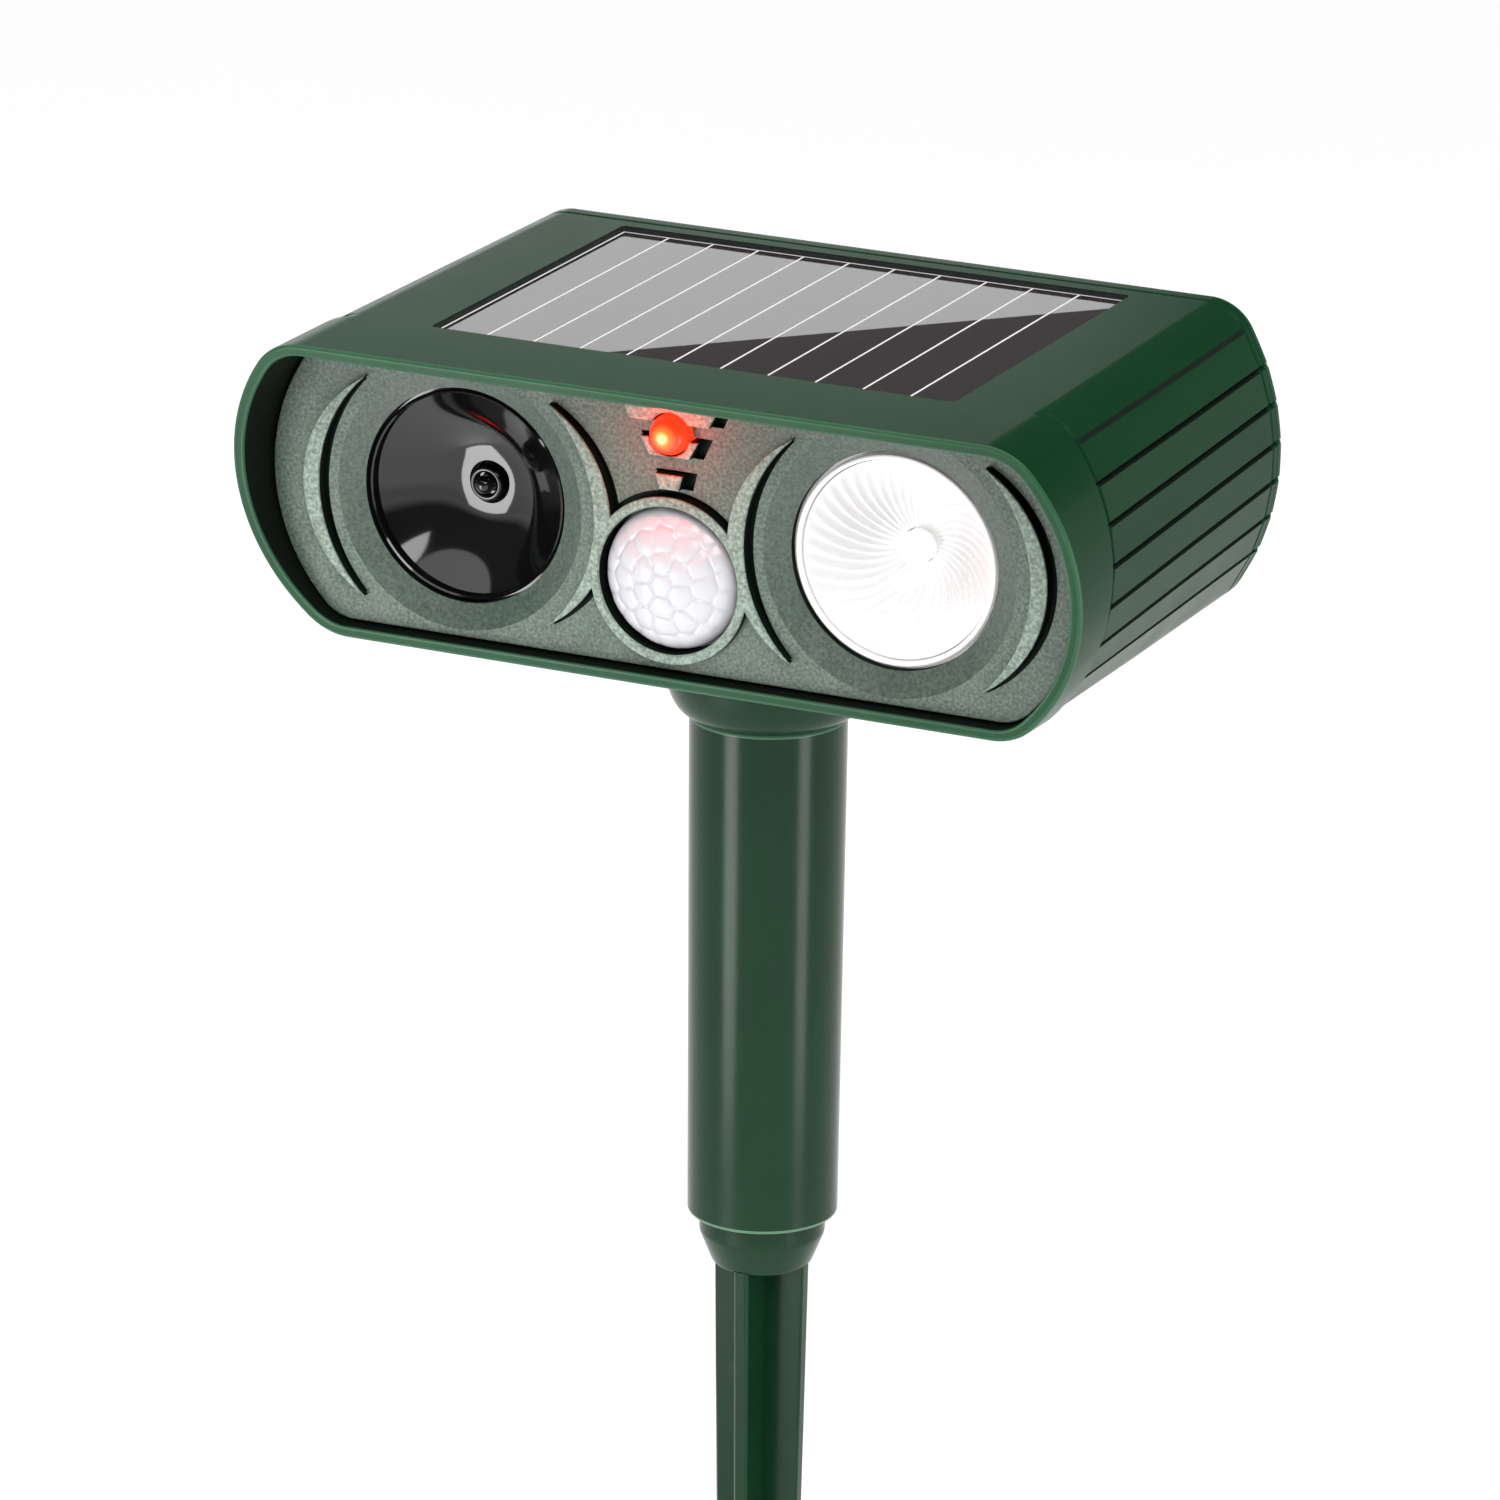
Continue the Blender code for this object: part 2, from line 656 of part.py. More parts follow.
def make_sensor(dome_material, can_material, board_material, led_material):
    """The motion sensor's dome and can, and the small board that holds it and the indicator."""
    centre = Matrix.Translation(in_head(0.0, 0.0, SENSOR_Z)) @ FRONT
    base = -(FACE_DEPTH + 1.2 * MM)
    flange = -(FACE_DEPTH + PANEL_THICKNESS + GAP)
    radius = 11.2 * MM
    rise = 5.4 * MM
    ball = (radius**2 + rise**2) / (2 * rise)
    edge = math.acos(radius / ball)
    wall = 0.8 * MM
    outside = arc((0.0, base + rise - ball), ball, math.pi / 2, edge, 5)
    inside = arc((0.0, base + rise - ball), ball - wall, edge, math.pi / 2, 4)
    inside = [(r, h) for r, h in inside if r < radius - wall - 0.1 * MM]
    profile = [
        *outside,
        (radius, flange),
        (13.2 * MM, flange),
        (13.2 * MM, flange - MM),
        (radius - wall, flange - MM),
        (radius - wall, inside[0][1] - 0.4 * MM),
        *inside,
    ]
    turned("pir_dome", profile, dome_material, centre, segments=28)
    board_front = -17.3 * MM
    can = [
        (0.0, board_front + 4.3 * MM),
        (4.0 * MM, board_front + 4.3 * MM),
        (4.3 * MM, board_front + 4.0 * MM),
        (4.3 * MM, board_front + 0.9 * MM),
        (4.9 * MM, board_front + 0.9 * MM),
        (4.9 * MM, board_front + GAP),
        (0.0, board_front + GAP),
    ]
    turned("pir_sensor", can, can_material, centre, segments=16)
    bm = bmesh.new()
    low = (-13.0 * MM, -board_front, -20.0 * MM)
    add_box(bm, low, (13.0 * MM, -board_front + BOARD_THICKNESS, 19.0 * MM))
    solid("sensor_board", bm, board_material, HEAD)
    seat = Matrix.Translation(in_head(0.0, 0.0, LED_Z)) @ FRONT
    led_base = -(FACE_DEPTH + 0.4 * MM)
    led = arc((0.0, led_base + 1.2 * MM), LED_RADIUS, math.pi / 2, 0.0, 4)
    led += [
        (LED_RADIUS, flange),
        (3.9 * MM, flange),
        (3.9 * MM, board_front + GAP),
        (0.0, board_front + GAP),
    ]
    turned("status_led", led, led_material, seat, segments=16)


# ---------------------------------------------------------------- top


def make_solar(board_material, cover_material):
    top = HEAD_HEIGHT / 2
    floor = top - SOLAR_RECESS
    for name, low_z, thickness, material in (
        ("solar_panel", floor + GAP, SOLAR_BOARD, board_material),
        ("solar_cover", top - SOLAR_COVER, SOLAR_COVER, cover_material),
    ):
        bm = bmesh.new()
        low = (-SOLAR_HALF_WIDTH, SOLAR_START, low_z)
        add_box(bm, low, (SOLAR_HALF_WIDTH, SOLAR_END, low_z + thickness))
        solid(name, bm, material, HEAD)


# ---------------------------------------------------------------- neck, tube and spike


def make_neck(material, seal_material):
    top = UNDERSIDE_Z - GAP
    foot = TUBE_TOP_Z + GAP
    spigot_end = TUBE_STOP_HIGH + 0.5 * MM
    groove = O_RING_WIRE + 0.25 * MM
    steps = 5
    profile = [(0.0, top), (NECK_RADIUS, top), (NECK_RADIUS, top - 1.6 * MM)]
    drop = top - 1.6 * MM - foot
    for i in range(1, steps + 1):
        angle = math.pi / 2 * i / steps
        radius = NECK_FOOT_RADIUS + (NECK_RADIUS - NECK_FOOT_RADIUS) * math.cos(angle)
        profile.append((radius, top - 1.6 * MM - drop * math.sin(angle)))
    profile += [
        (SPIGOT_RADIUS, foot),
        (SPIGOT_RADIUS, O_RING_Z + groove),
        (SPIGOT_RADIUS - 1.5 * MM, O_RING_Z + groove),
        (SPIGOT_RADIUS - 1.5 * MM, O_RING_Z - groove),
        (SPIGOT_RADIUS, O_RING_Z - groove),
        (SPIGOT_RADIUS, spigot_end + 0.8 * MM),
        (SPIGOT_RADIUS - 0.8 * MM, spigot_end),
        (6.0 * MM, spigot_end),
        (6.0 * MM, foot - 2.0 * MM),
        (0.0, foot - 2.0 * MM),
    ]
    neck = turned("neck_socket", profile, material, segments=36)

    def pilots(bm):
        for x, y in NECK_SCREWS:
            add_cylinder(bm, (x, y, top - 9.0 * MM), (x, y, top + MM), PILOT)

    cut(neck, "neck_pilots", pilots)
    middle = SPIGOT_RADIUS - 0.35 * MM
    section = arc((middle, O_RING_Z), O_RING_WIRE, math.pi / 2, -3 * math.pi / 2, 6)[:-1]
    turned("neck_o_ring", section, seal_material, segments=24, ring=True)


def make_tube(material):
    rolled = 0.6 * MM
    profile = [
        (TUBE_TOP_RADIUS - rolled, TUBE_TOP_Z),
        (TUBE_TOP_RADIUS, TUBE_TOP_Z - rolled),
        (TUBE_FOOT_RADIUS, rolled),
        (TUBE_FOOT_RADIUS - rolled, 0.0),
        (TUBE_BORE, 0.0),
        (TUBE_BORE, TUBE_STOP_LOW),
        (TUBE_STOP_BORE, TUBE_STOP_LOW),
        (TUBE_STOP_BORE, TUBE_STOP_HIGH),
        (TUBE_BORE, TUBE_STOP_HIGH),
        (TUBE_BORE, TUBE_TOP_Z),
    ]
    turned("pole_tube", profile, material, segments=40, ring=True)


def make_spike(material):
    end = TUBE_STOP_LOW - GAP
    profile = [
        (SPIGOT_RADIUS - 0.8 * MM, end),
        (SPIGOT_RADIUS, end - 0.8 * MM),
        (SPIGOT_RADIUS, -3.5 * MM),
        (SPIKE_NECK_RADIUS, SPIKE_SHOULDER_Z),
        (0.0, SPIKE_SHOULDER_Z),
        (0.0, 4.0 * MM),
        (6.5 * MM, 4.0 * MM),
        (6.5 * MM, end),
    ]
    spike = turned("ground_spike", profile, material, segments=32, ring=True)

    def fins(bm):
        stations = [
            (SPIKE_SHOULDER_Z + 0.5 * MM, SPIKE_NECK_RADIUS - 0.1 * MM, SPIKE_FIN),
            (-0.6 * SPIKE_LENGTH, 7.0 * MM, SPIKE_FIN * 0.9),
            (-SPIKE_LENGTH, 0.9 * MM, SPIKE_FIN * 0.6),
        ]
        rings = []
        for z, reach, thickness in stations:
            half = thickness / 2
            far = max(reach, half + 0.2 * MM)
            ring = []
            for quarter in range(4):
                turn = Matrix.Rotation(math.pi / 2 * quarter, 4, "Z")
                for x, y in ((far, -half), (far, half), (half, half)):
                    ring.append(turn @ Vector((x, y, z)))
            rings.append(ring)
        add_loft(bm, rings)

    join(spike, "spike_fins", fins)


# ---------------------------------------------------------------- controls on the back


def make_controls(knob_material, button_material, flap_material):
    floor = HEAD_DEPTH - POCKET_DEPTH
    backward = Matrix.Rotation(-math.pi / 2, 4, "X")
    knob_at = Matrix.Translation(in_head(KNOB_X, floor + GAP, CONTROL_Z)) @ backward
    knob_height = 8.2 * MM
    profile = [
        (0.0, knob_height),
        (KNOB_RADIUS - 1.6 * MM, knob_height),
        (KNOB_RADIUS - 0.9 * MM, knob_height - 0.7 * MM),
        (KNOB_RADIUS - 0.6 * MM, 1.4 * MM),
        (KNOB_RADIUS, 1.0 * MM),
        (KNOB_RADIUS, 0.0),
        (3.0 * MM, 0.0),
        (3.0 * MM, -7.9 * MM),
        (0.0, -7.9 * MM),
    ]
    knob = turned("mode_knob", profile, knob_material, knob_at, segments=24)

    def pointer(bm):
        low = (-0.5 * MM, 0.6 * MM - KNOB_RADIUS, knob_height - 0.6 * MM)
        add_box(bm, low, (0.5 * MM, -1.5 * MM, knob_height + MM))

    cut(knob, "knob_pointer", pointer, knob_at)
    button_at = Matrix.Translation(in_head(BUTTON_X, floor, CONTROL_Z)) @ backward
    profile = [(0.0, 2.6 * MM), (2.8 * MM, 2.4 * MM), (3.9 * MM, 1.8 * MM)]
    profile += [
        (BUTTON_RADIUS, 0.9 * MM),
        (BUTTON_RADIUS, -2.5 * MM),
        (BUTTON_RADIUS + 0.9 * MM, -2.5 * MM),
        (BUTTON_RADIUS + 0.9 * MM, -3.4 * MM),
        (1.5 * MM, -3.4 * MM),
        (1.5 * MM, -5.3 * MM),
        (0.0, -5.3 * MM),
    ]
    turned("power_button", profile, button_material, button_at, segments=20)

    hinge = (PORT_X, floor + GAP + 0.8 * MM, PORT_Z - 4.6 * MM)
    flap_at = Matrix.Translation(in_head(*hinge))
    bm = bmesh.new()
    half = 7.4 * MM
    high = 8.6 * MM
    outline = arc((half - 2.0 * MM, high - 2.0 * MM), 2.0 * MM, 0.0, math.pi / 2, 4)
    outline += arc((-half + 2.0 * MM, high - 2.0 * MM), 2.0 * MM, math.pi / 2, math.pi, 4)
    outline += [(-half, -0.6 * MM), (half, -0.6 * MM)]
    add_prism(bm, outline, -0.8 * MM, 0.7 * MM)
    flap = solid("usb_flap", bm, flap_material, flap_at)

    def plug(bm):
        add_box(bm, (-3.9 * MM, -2.3 * MM, 3.2 * MM), (3.9 * MM, 0.0, 6.0 * MM))
        add_box(bm, (-2.5 * MM, 0.0, 7.0 * MM), (2.5 * MM, 1.6 * MM, 8.4 * MM))

    join(flap, "flap_plug", plug, flap_at)


# ---------------------------------------------------------------- electronics


def make_electronics(materials):
    underside = BOARD_Z
    top = BOARD_Z + BOARD_THICKNESS
    boxes = {
        "main_board": ((-46.0, 42.0, underside / MM), (46.0, 81.4, top / MM), "board"),
        "controller_chip": ((-20.0, 50.0, top / MM + 0.3), (-8.0, 62.0, top / MM + 2.3), "chip"),
        "rotary_switch": ((KNOB_X / MM - 6, 74.4, 2.5), (KNOB_X / MM + 6, 80.9, 13.5), "chip"),
        "push_switch": ((-3.2, 74.4, 2.5), (3.2, 81.9, 9.5), "chip"),
        "usb_socket": ((PORT_X / MM - 4.0, 77.9, 2.5), (PORT_X / MM + 4.0, 84.9, 5.4), "steel"),
    }
    for name, (low, high, kind) in boxes.items():
        bm = bmesh.new()
        add_box(bm, Vector(low) * MM, Vector(high) * MM)
        solid(name, bm, materials[kind], HEAD)
    can = [(0.0, 13.0 * MM), (4.6 * MM, 13.0 * MM), (5.0 * MM, 12.6 * MM)]
    can += [(5.0 * MM, 0.0), (0.0, 0.0)]
    at = Matrix.Translation(in_head(12.0 * MM, 58.0 * MM, top + GAP))
    turned("filter_capacitor", can, materials["capacitor"], at, segments=16)
    coil = [
        (5.0 * MM, 8.0 * MM),
        (5.0 * MM, 6.6 * MM),
        (4.4 * MM, 6.2 * MM),
        (4.4 * MM, 1.8 * MM),
        (5.0 * MM, 1.4 * MM),
        (5.0 * MM, 0.0),
        (0.0, 0.0),
    ]
    at = Matrix.Translation(in_head(-34.0 * MM, 56.0 * MM, top + GAP))
    turned("step_up_coil", [(0.0, 8.0 * MM), *coil], materials["copper"], at, segments=16)


def make_batteries(materials):
    """Three cells side by side across the head, in an open cradle with a spring at one end."""
    floor = CELL_Z - CELL_RADIUS - GAP
    half_length = CELL_LENGTH / 2 + 4.6 * MM
    half_depth = 1.5 * CELL_PITCH + 1.4 * MM
    wall = 1.2 * MM
    bm = bmesh.new()
    low = (-half_length - wall, CELL_DEPTH - half_depth, floor - wall)
    add_box(bm, low, (half_length + wall, CELL_DEPTH + half_depth, CELL_Z + 2.0 * MM))
    cradle = solid("battery_cradle", bm, materials["cradle"], HEAD)

    def hollow(bm):
        low = (-half_length, CELL_DEPTH - half_depth + wall, floor)
        add_box(bm, low, (half_length, CELL_DEPTH + half_depth - wall, CELL_Z + 9.0 * MM))

    cut(cradle, "cradle_hollow", hollow, HEAD)
    sideways = Matrix.Rotation(math.pi / 2, 4, "Y")
    half = CELL_LENGTH / 2
    nub = 2.6 * MM
    for i in range(3):
        depth = CELL_DEPTH + (i - 1) * CELL_PITCH
        profile = [
            (0.0, half + 1.2 * MM),
            (nub, half + 1.2 * MM),
            (nub, half),
            (CELL_RADIUS - 0.5 * MM, half),
            (CELL_RADIUS, half - 0.5 * MM),
            (CELL_RADIUS, -half),
            (0.0, -half),
        ]
        at = Matrix.Translation(in_head(0.0, depth, CELL_Z)) @ sideways
        name = f"battery_cell_{i + 1}"
        turned(name, profile, materials["cell"], at, segments=20)
        make_spring(f"battery_spring_{i + 1}", depth, materials["steel"])
    bm = bmesh.new()
    start = half + 1.2 * MM + GAP
    low = (start, CELL_DEPTH - half_depth + 2.4 * MM, CELL_Z - 4.0 * MM)
    add_box(bm, low, (start + 0.5 * MM, CELL_DEPTH + half_depth - 2.4 * MM, CELL_Z + 4.0 * MM))
    solid("contact_plate", bm, materials["steel"], HEAD)


def make_spring(name, depth, material):
    """A conical coil between a cell's flat end and the cradle's wall."""
    turns = 2.5
    per_turn = 9
    length = 3.0 * MM
    count = int(turns * per_turn)
    points = []
    for i in range(count + 1):
        share = i / count
        angle = 2 * math.pi * turns * share
        radius = (2.4 + 2.2 * share) * MM
        x = -CELL_LENGTH / 2 - 0.9 * MM - length * share
        across = radius * math.cos(angle)
        points.append(in_head(x, depth + across, CELL_Z + radius * math.sin(angle)))
    curve = bpy.data.curves.new(name, "CURVE")
    curve.dimensions = "3D"
    curve.bevel_depth = 0.35 * MM
    curve.bevel_resolution = 0
    curve.use_fill_caps = True
    spline = curve.splines.new("POLY")
    spline.points.add(count)
    for target, point in zip(spline.points, points):
        target.co = (*point, 1.0)
    curve.materials.append(material)
    PARTS.objects.link(bpy.data.objects.new(name, curve))


def make_leads(materials):
    """Wires inside the head, each from its fitting to the main board."""
    solar = [(0, 68, 23.3), (0, 67.5, 21), (-1, 65, 14), (-3, 66, 7), (-4, 67, 3.6)]
    speaker = [(-37.7, 31.4, 2), (-38, 36, 6), (-40, 41, 9), (-41.5, 45, 6), (-42, 47, 3.6)]
    strobe = [(37.7, 24.8, 3), (38, 31, 8), (39, 39, 11), (40, 45, 7), (40, 47, 3.6)]
    battery = [(31.5, 48, -5), (35, 47, -5), (48.5, 47.5, -3), (49.5, 48, 4), (43, 50, 6.5)]
    battery.append((40, 52, 3.6))
    routes = {
        "solar_lead": (solar, "red_wire"),
        "speaker_lead": (speaker, "black_wire"),
        "strobe_lead": (strobe, "white_wire"),
        "battery_lead": (battery, "red_wire"),
    }
    for name, (points, kind) in routes.items():
        route = [in_head(x * MM, depth * MM, z * MM) for x, depth, z in points]
        wire(name, route, 0.7 * MM, materials[kind])


def screw_profile(length):
    """A pan-head screw, head at the top, shank pointing down from height zero."""
    head = SCREW_HEAD_HEIGHT
    return [
        (0.0, head),
        (SCREW_HEAD - 0.7 * MM, head),
        (SCREW_HEAD, head - 0.8 * MM),
        (SCREW_HEAD, 0.0),
        (SCREW_SHANK, 0.0),
        (SCREW_SHANK, -length + 0.8 * MM),
        (0.0, -length),
    ]


def make_screws(material):
    backward = Matrix.Rotation(-math.pi / 2, 4, "X")
    for i, (x, z) in enumerate(FRONT_POSTS):
        at = Matrix.Translation(in_head(x, FRONT_POST_END + GAP, z)) @ backward
        turned(f"face_screw_{i + 1}", screw_profile(9.6 * MM), material, at, segments=12)
    for i, (x, z) in enumerate(REAR_POSTS):
        depth = HEAD_DEPTH - SCREW_HEAD_HEIGHT + 0.1 * MM
        at = Matrix.Translation(in_head(x, depth, z)) @ backward
        turned(f"rear_screw_{i + 1}", screw_profile(12.0 * MM), material, at, segments=12)
    for i, (x, y) in enumerate(NECK_SCREWS):
        at = Matrix.Translation((x, y, UNDERSIDE_Z + WALL + GAP))
        turned(f"neck_screw_{i + 1}", screw_profile(9.5 * MM), material, at, segments=12)


# ---------------------------------------------------------------- assembly

clear_scene()
PARTS = new_collection("ultrasonic_pest_repeller")
CUTTERS = new_collection("cutters")

GREEN = new_material("green_housing_plastic", (0.016, 0.062, 0.030), 0.22)
GREEN_TUBE = new_material("green_tube_plastic", (0.010, 0.045, 0.018), 0.18)
FACE = new_material("grained_face_plastic", (0.22, 0.27, 0.23), 0.45, 0.35)
BLACK_GLOSS = new_material("black_gloss_plastic", (0.006, 0.006, 0.007), 0.08)
BLACK = new_material("black_plastic", (0.012, 0.012, 0.012), 0.45)
WHITE = new_material("white_reflector_plastic", (0.86, 0.85, 0.85), 0.2)
DOME = new_material("white_lens_plastic", (0.82, 0.82, 0.84), 0.3)
RED = new_material("red_lens_plastic", (0.9, 0.05, 0.01), 0.15)
CELLS = new_material("solar_cells", (0.06, 0.045, 0.045), 0.2)
CLEAR = new_material("clear_cover_plastic", (0.8, 0.85, 0.85), 0.05)
RUBBER = new_material("black_rubber", (0.015, 0.015, 0.016), 0.7)
STEEL = new_material("plated_steel", (0.55, 0.55, 0.56), 0.3, 1.0)
BOARD = new_material("green_circuit_board", (0.01, 0.12, 0.04), 0.4)
CHIP = new_material("black_component_plastic", (0.02, 0.02, 0.02), 0.5)
CAPACITOR = new_material("blue_sleeve", (0.02, 0.05, 0.2), 0.35)
COPPER = new_material("copper_wire", (0.72, 0.3, 0.12), 0.35, 1.0)
CELL_WRAP = new_material("cell_wrap", (0.05, 0.25, 0.09), 0.3)
RED_WIRE = new_material("red_wire", (0.5, 0.01, 0.01), 0.45)
WHITE_WIRE = new_material("white_wire", (0.7, 0.7, 0.7), 0.45)

make_head_shell(GREEN)
make_face_panel(FACE)
make_rear_cover(GREEN)
make_gasket(RUBBER)
make_speaker(BLACK_GLOSS, BLACK_GLOSS, BLACK)
make_strobe(WHITE, WHITE, BOARD)
make_sensor(DOME, STEEL, BOARD, RED)
make_solar(CELLS, CLEAR)
make_neck(GREEN_TUBE, RUBBER)
make_tube(GREEN_TUBE)
make_spike(GREEN_TUBE)
make_controls(BLACK, RUBBER, RUBBER)
make_electronics(
    {"board": BOARD, "chip": CHIP, "steel": STEEL, "capacitor": CAPACITOR, "copper": COPPER}
)
make_batteries({"cradle": BLACK, "cell": CELL_WRAP, "steel": STEEL})
make_leads({"red_wire": RED_WIRE, "black_wire": RUBBER, "white_wire": WHITE_WIRE})
make_screws(STEEL)
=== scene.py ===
"""Looks of a solar ultrasonic pest repeller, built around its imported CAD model.

Metres, +Z up, in the model's own frame: the eyes look along -Y. Every piece of the head is placed
by its depth behind the hood's rim (towards +Y) and by its height above the head's middle.
"""

import math

import bmesh
import bpy
from mathutils import Matrix, Vector


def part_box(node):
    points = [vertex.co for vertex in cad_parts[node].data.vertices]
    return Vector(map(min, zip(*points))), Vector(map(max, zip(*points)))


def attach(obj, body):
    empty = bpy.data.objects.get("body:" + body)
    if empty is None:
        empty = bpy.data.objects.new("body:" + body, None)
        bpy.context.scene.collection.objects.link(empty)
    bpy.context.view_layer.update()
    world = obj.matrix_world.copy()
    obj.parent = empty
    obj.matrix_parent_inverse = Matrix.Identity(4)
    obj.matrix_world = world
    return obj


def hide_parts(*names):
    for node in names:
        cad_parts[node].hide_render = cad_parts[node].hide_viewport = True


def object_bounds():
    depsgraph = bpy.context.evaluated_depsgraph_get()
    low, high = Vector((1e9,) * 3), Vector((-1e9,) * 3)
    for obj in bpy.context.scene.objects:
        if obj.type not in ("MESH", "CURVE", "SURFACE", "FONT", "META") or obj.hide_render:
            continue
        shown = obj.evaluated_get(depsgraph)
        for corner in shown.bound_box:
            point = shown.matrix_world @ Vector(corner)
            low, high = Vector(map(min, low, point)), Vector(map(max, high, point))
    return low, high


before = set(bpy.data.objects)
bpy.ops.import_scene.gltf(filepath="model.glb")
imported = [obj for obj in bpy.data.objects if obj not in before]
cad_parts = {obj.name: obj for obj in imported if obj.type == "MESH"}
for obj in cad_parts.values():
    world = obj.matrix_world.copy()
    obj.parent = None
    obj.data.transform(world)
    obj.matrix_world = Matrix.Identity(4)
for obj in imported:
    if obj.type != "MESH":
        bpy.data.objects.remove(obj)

CAD_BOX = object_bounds()
MM = 0.001

# ---------------------------------------------------------------- driving dimensions

SHELL_LOW, SHELL_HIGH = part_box("head_shell")
COVER_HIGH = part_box("rear_cover")[1]
HEAD_HEIGHT = SHELL_HIGH.z - SHELL_LOW.z
HEAD_MIDDLE_Z = (SHELL_HIGH.z + SHELL_LOW.z) / 2
RIM_SLOPE = 0.22
RIM_Y = SHELL_LOW.y + RIM_SLOPE * HEAD_HEIGHT / 2
HEAD_DEPTH = COVER_HIGH.y - RIM_Y
SHELL_END = SHELL_HIGH.y - RIM_Y
FRONT_HALF_WIDTH = SHELL_HIGH.x
REAR_HALF_WIDTH = FRONT_HALF_WIDTH - 3.0 * MM
FRONT_SIDE_RADIUS = 34.0 * MM
REAR_SIDE_RADIUS = 42.0 * MM
FRONT_CORNER_RADIUS = 10.0 * MM
REAR_CORNER_RADIUS = 8.5 * MM
FRONT_BULGE_Z = 1.5 * MM
REAR_BULGE_Z = 0.5 * MM
WALL = 3.0 * MM
HOOD_WALL = 2.0 * MM
GAP = 0.3 * MM
HOOD_DEPTH = 13.5 * MM
GRIP_STEP = 0.7 * MM
GRIP_FACETS = 7
GROOVE_DEPTH = 0.8 * MM
GROOVE_WIDTH = 1.05 * MM
CORNER_STEPS = 9
FACET_STEPS = 4

FACE_DEPTH = 8.2 * MM
PANEL_THICKNESS = 3.2 * MM
BEZEL_DEPTH = 2.0 * MM
BEZEL_RADIUS = 21.9 * MM
EYE_RADIUS = 17.9 * MM
EYE_X = (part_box("strobe_reflector")[0].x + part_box("strobe_reflector")[1].x) / 2
EYE_Z = (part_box("strobe_reflector")[0].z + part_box("strobe_reflector")[1].z) / 2 - HEAD_MIDDLE_Z
SENSOR_Z = (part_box("pir_dome")[0].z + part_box("pir_dome")[1].z) / 2 - HEAD_MIDDLE_Z
LED_Z = (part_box("status_led")[0].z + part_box("status_led")[1].z) / 2 - HEAD_MIDDLE_Z
SENSOR_RING_RADIUS = 13.85 * MM
SENSOR_HOLE_RADIUS = 12.2 * MM
RELIEF = 1.5 * MM
CRESCENT_RADIUS = 24.7 * MM
CRESCENT_WIDTH = 2.8 * MM
CRESCENT_SPAN = math.radians(48)
CRESCENT_STEPS = 28
LED_RADIUS = 3.3 * MM

# Heights behind the panel, on a piece's own Z, which points forwards.
EYE_FRONT = -(FACE_DEPTH + BEZEL_DEPTH + 0.2 * MM)
FLANGE = -(FACE_DEPTH + PANEL_THICKNESS + GAP)
FLANGE_RADIUS = 20.0 * MM

CONTROL_Z = 6.5 * MM
POCKET_DEPTH = 1.2 * MM
POCKET_HALF = (42.0 * MM, 11.5 * MM)
KNOB_LOW, KNOB_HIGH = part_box("mode_knob")
KNOB_X = (KNOB_LOW.x + KNOB_HIGH.x) / 2
KNOB_RADIUS = (KNOB_HIGH.x - KNOB_LOW.x) / 2
BUTTON_RADIUS = 4.5 * MM
FLAP_LOW, FLAP_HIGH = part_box("usb_flap")
FLAP_X = (FLAP_LOW.x + FLAP_HIGH.x) / 2
PORT_Z = 4.0 * MM
PORT_HALF = (4.6 * MM, 1.95 * MM)
DIAL_MARKS = 6
DIAL_TURN = 125
REAR_SCREWS = [f"rear_screw_{i + 1}" for i in range(4)]
SCREW_HEAD = 2.6 * MM

FRONT = Matrix.Rotation(math.pi / 2, 4, "X")
BACK = Matrix.Rotation(-math.pi / 2, 4, "X")
HERE = Matrix.Identity(4)


def in_head(x, depth, z):
    """A place in the head, by its depth behind the rim and its height over the middle."""
    return Vector((x, RIM_Y + depth, HEAD_MIDDLE_Z + z))


def facing(x, z):
    """A piece's place in the rim's plane, turned so that its own Z points forwards."""
    return Matrix.Translation(in_head(x, 0.0, z)) @ FRONT


def polar(radius, angle):
    return radius * math.cos(angle), radius * math.sin(angle)


HEAD = Matrix.Translation(in_head(0.0, 0.0, 0.0))


# ---------------------------------------------------------------- materials


def fill(node, values):
    """Sets a node's unlinked sockets."""
    for socket, value in values.items():
        node.inputs[socket].default_value = value


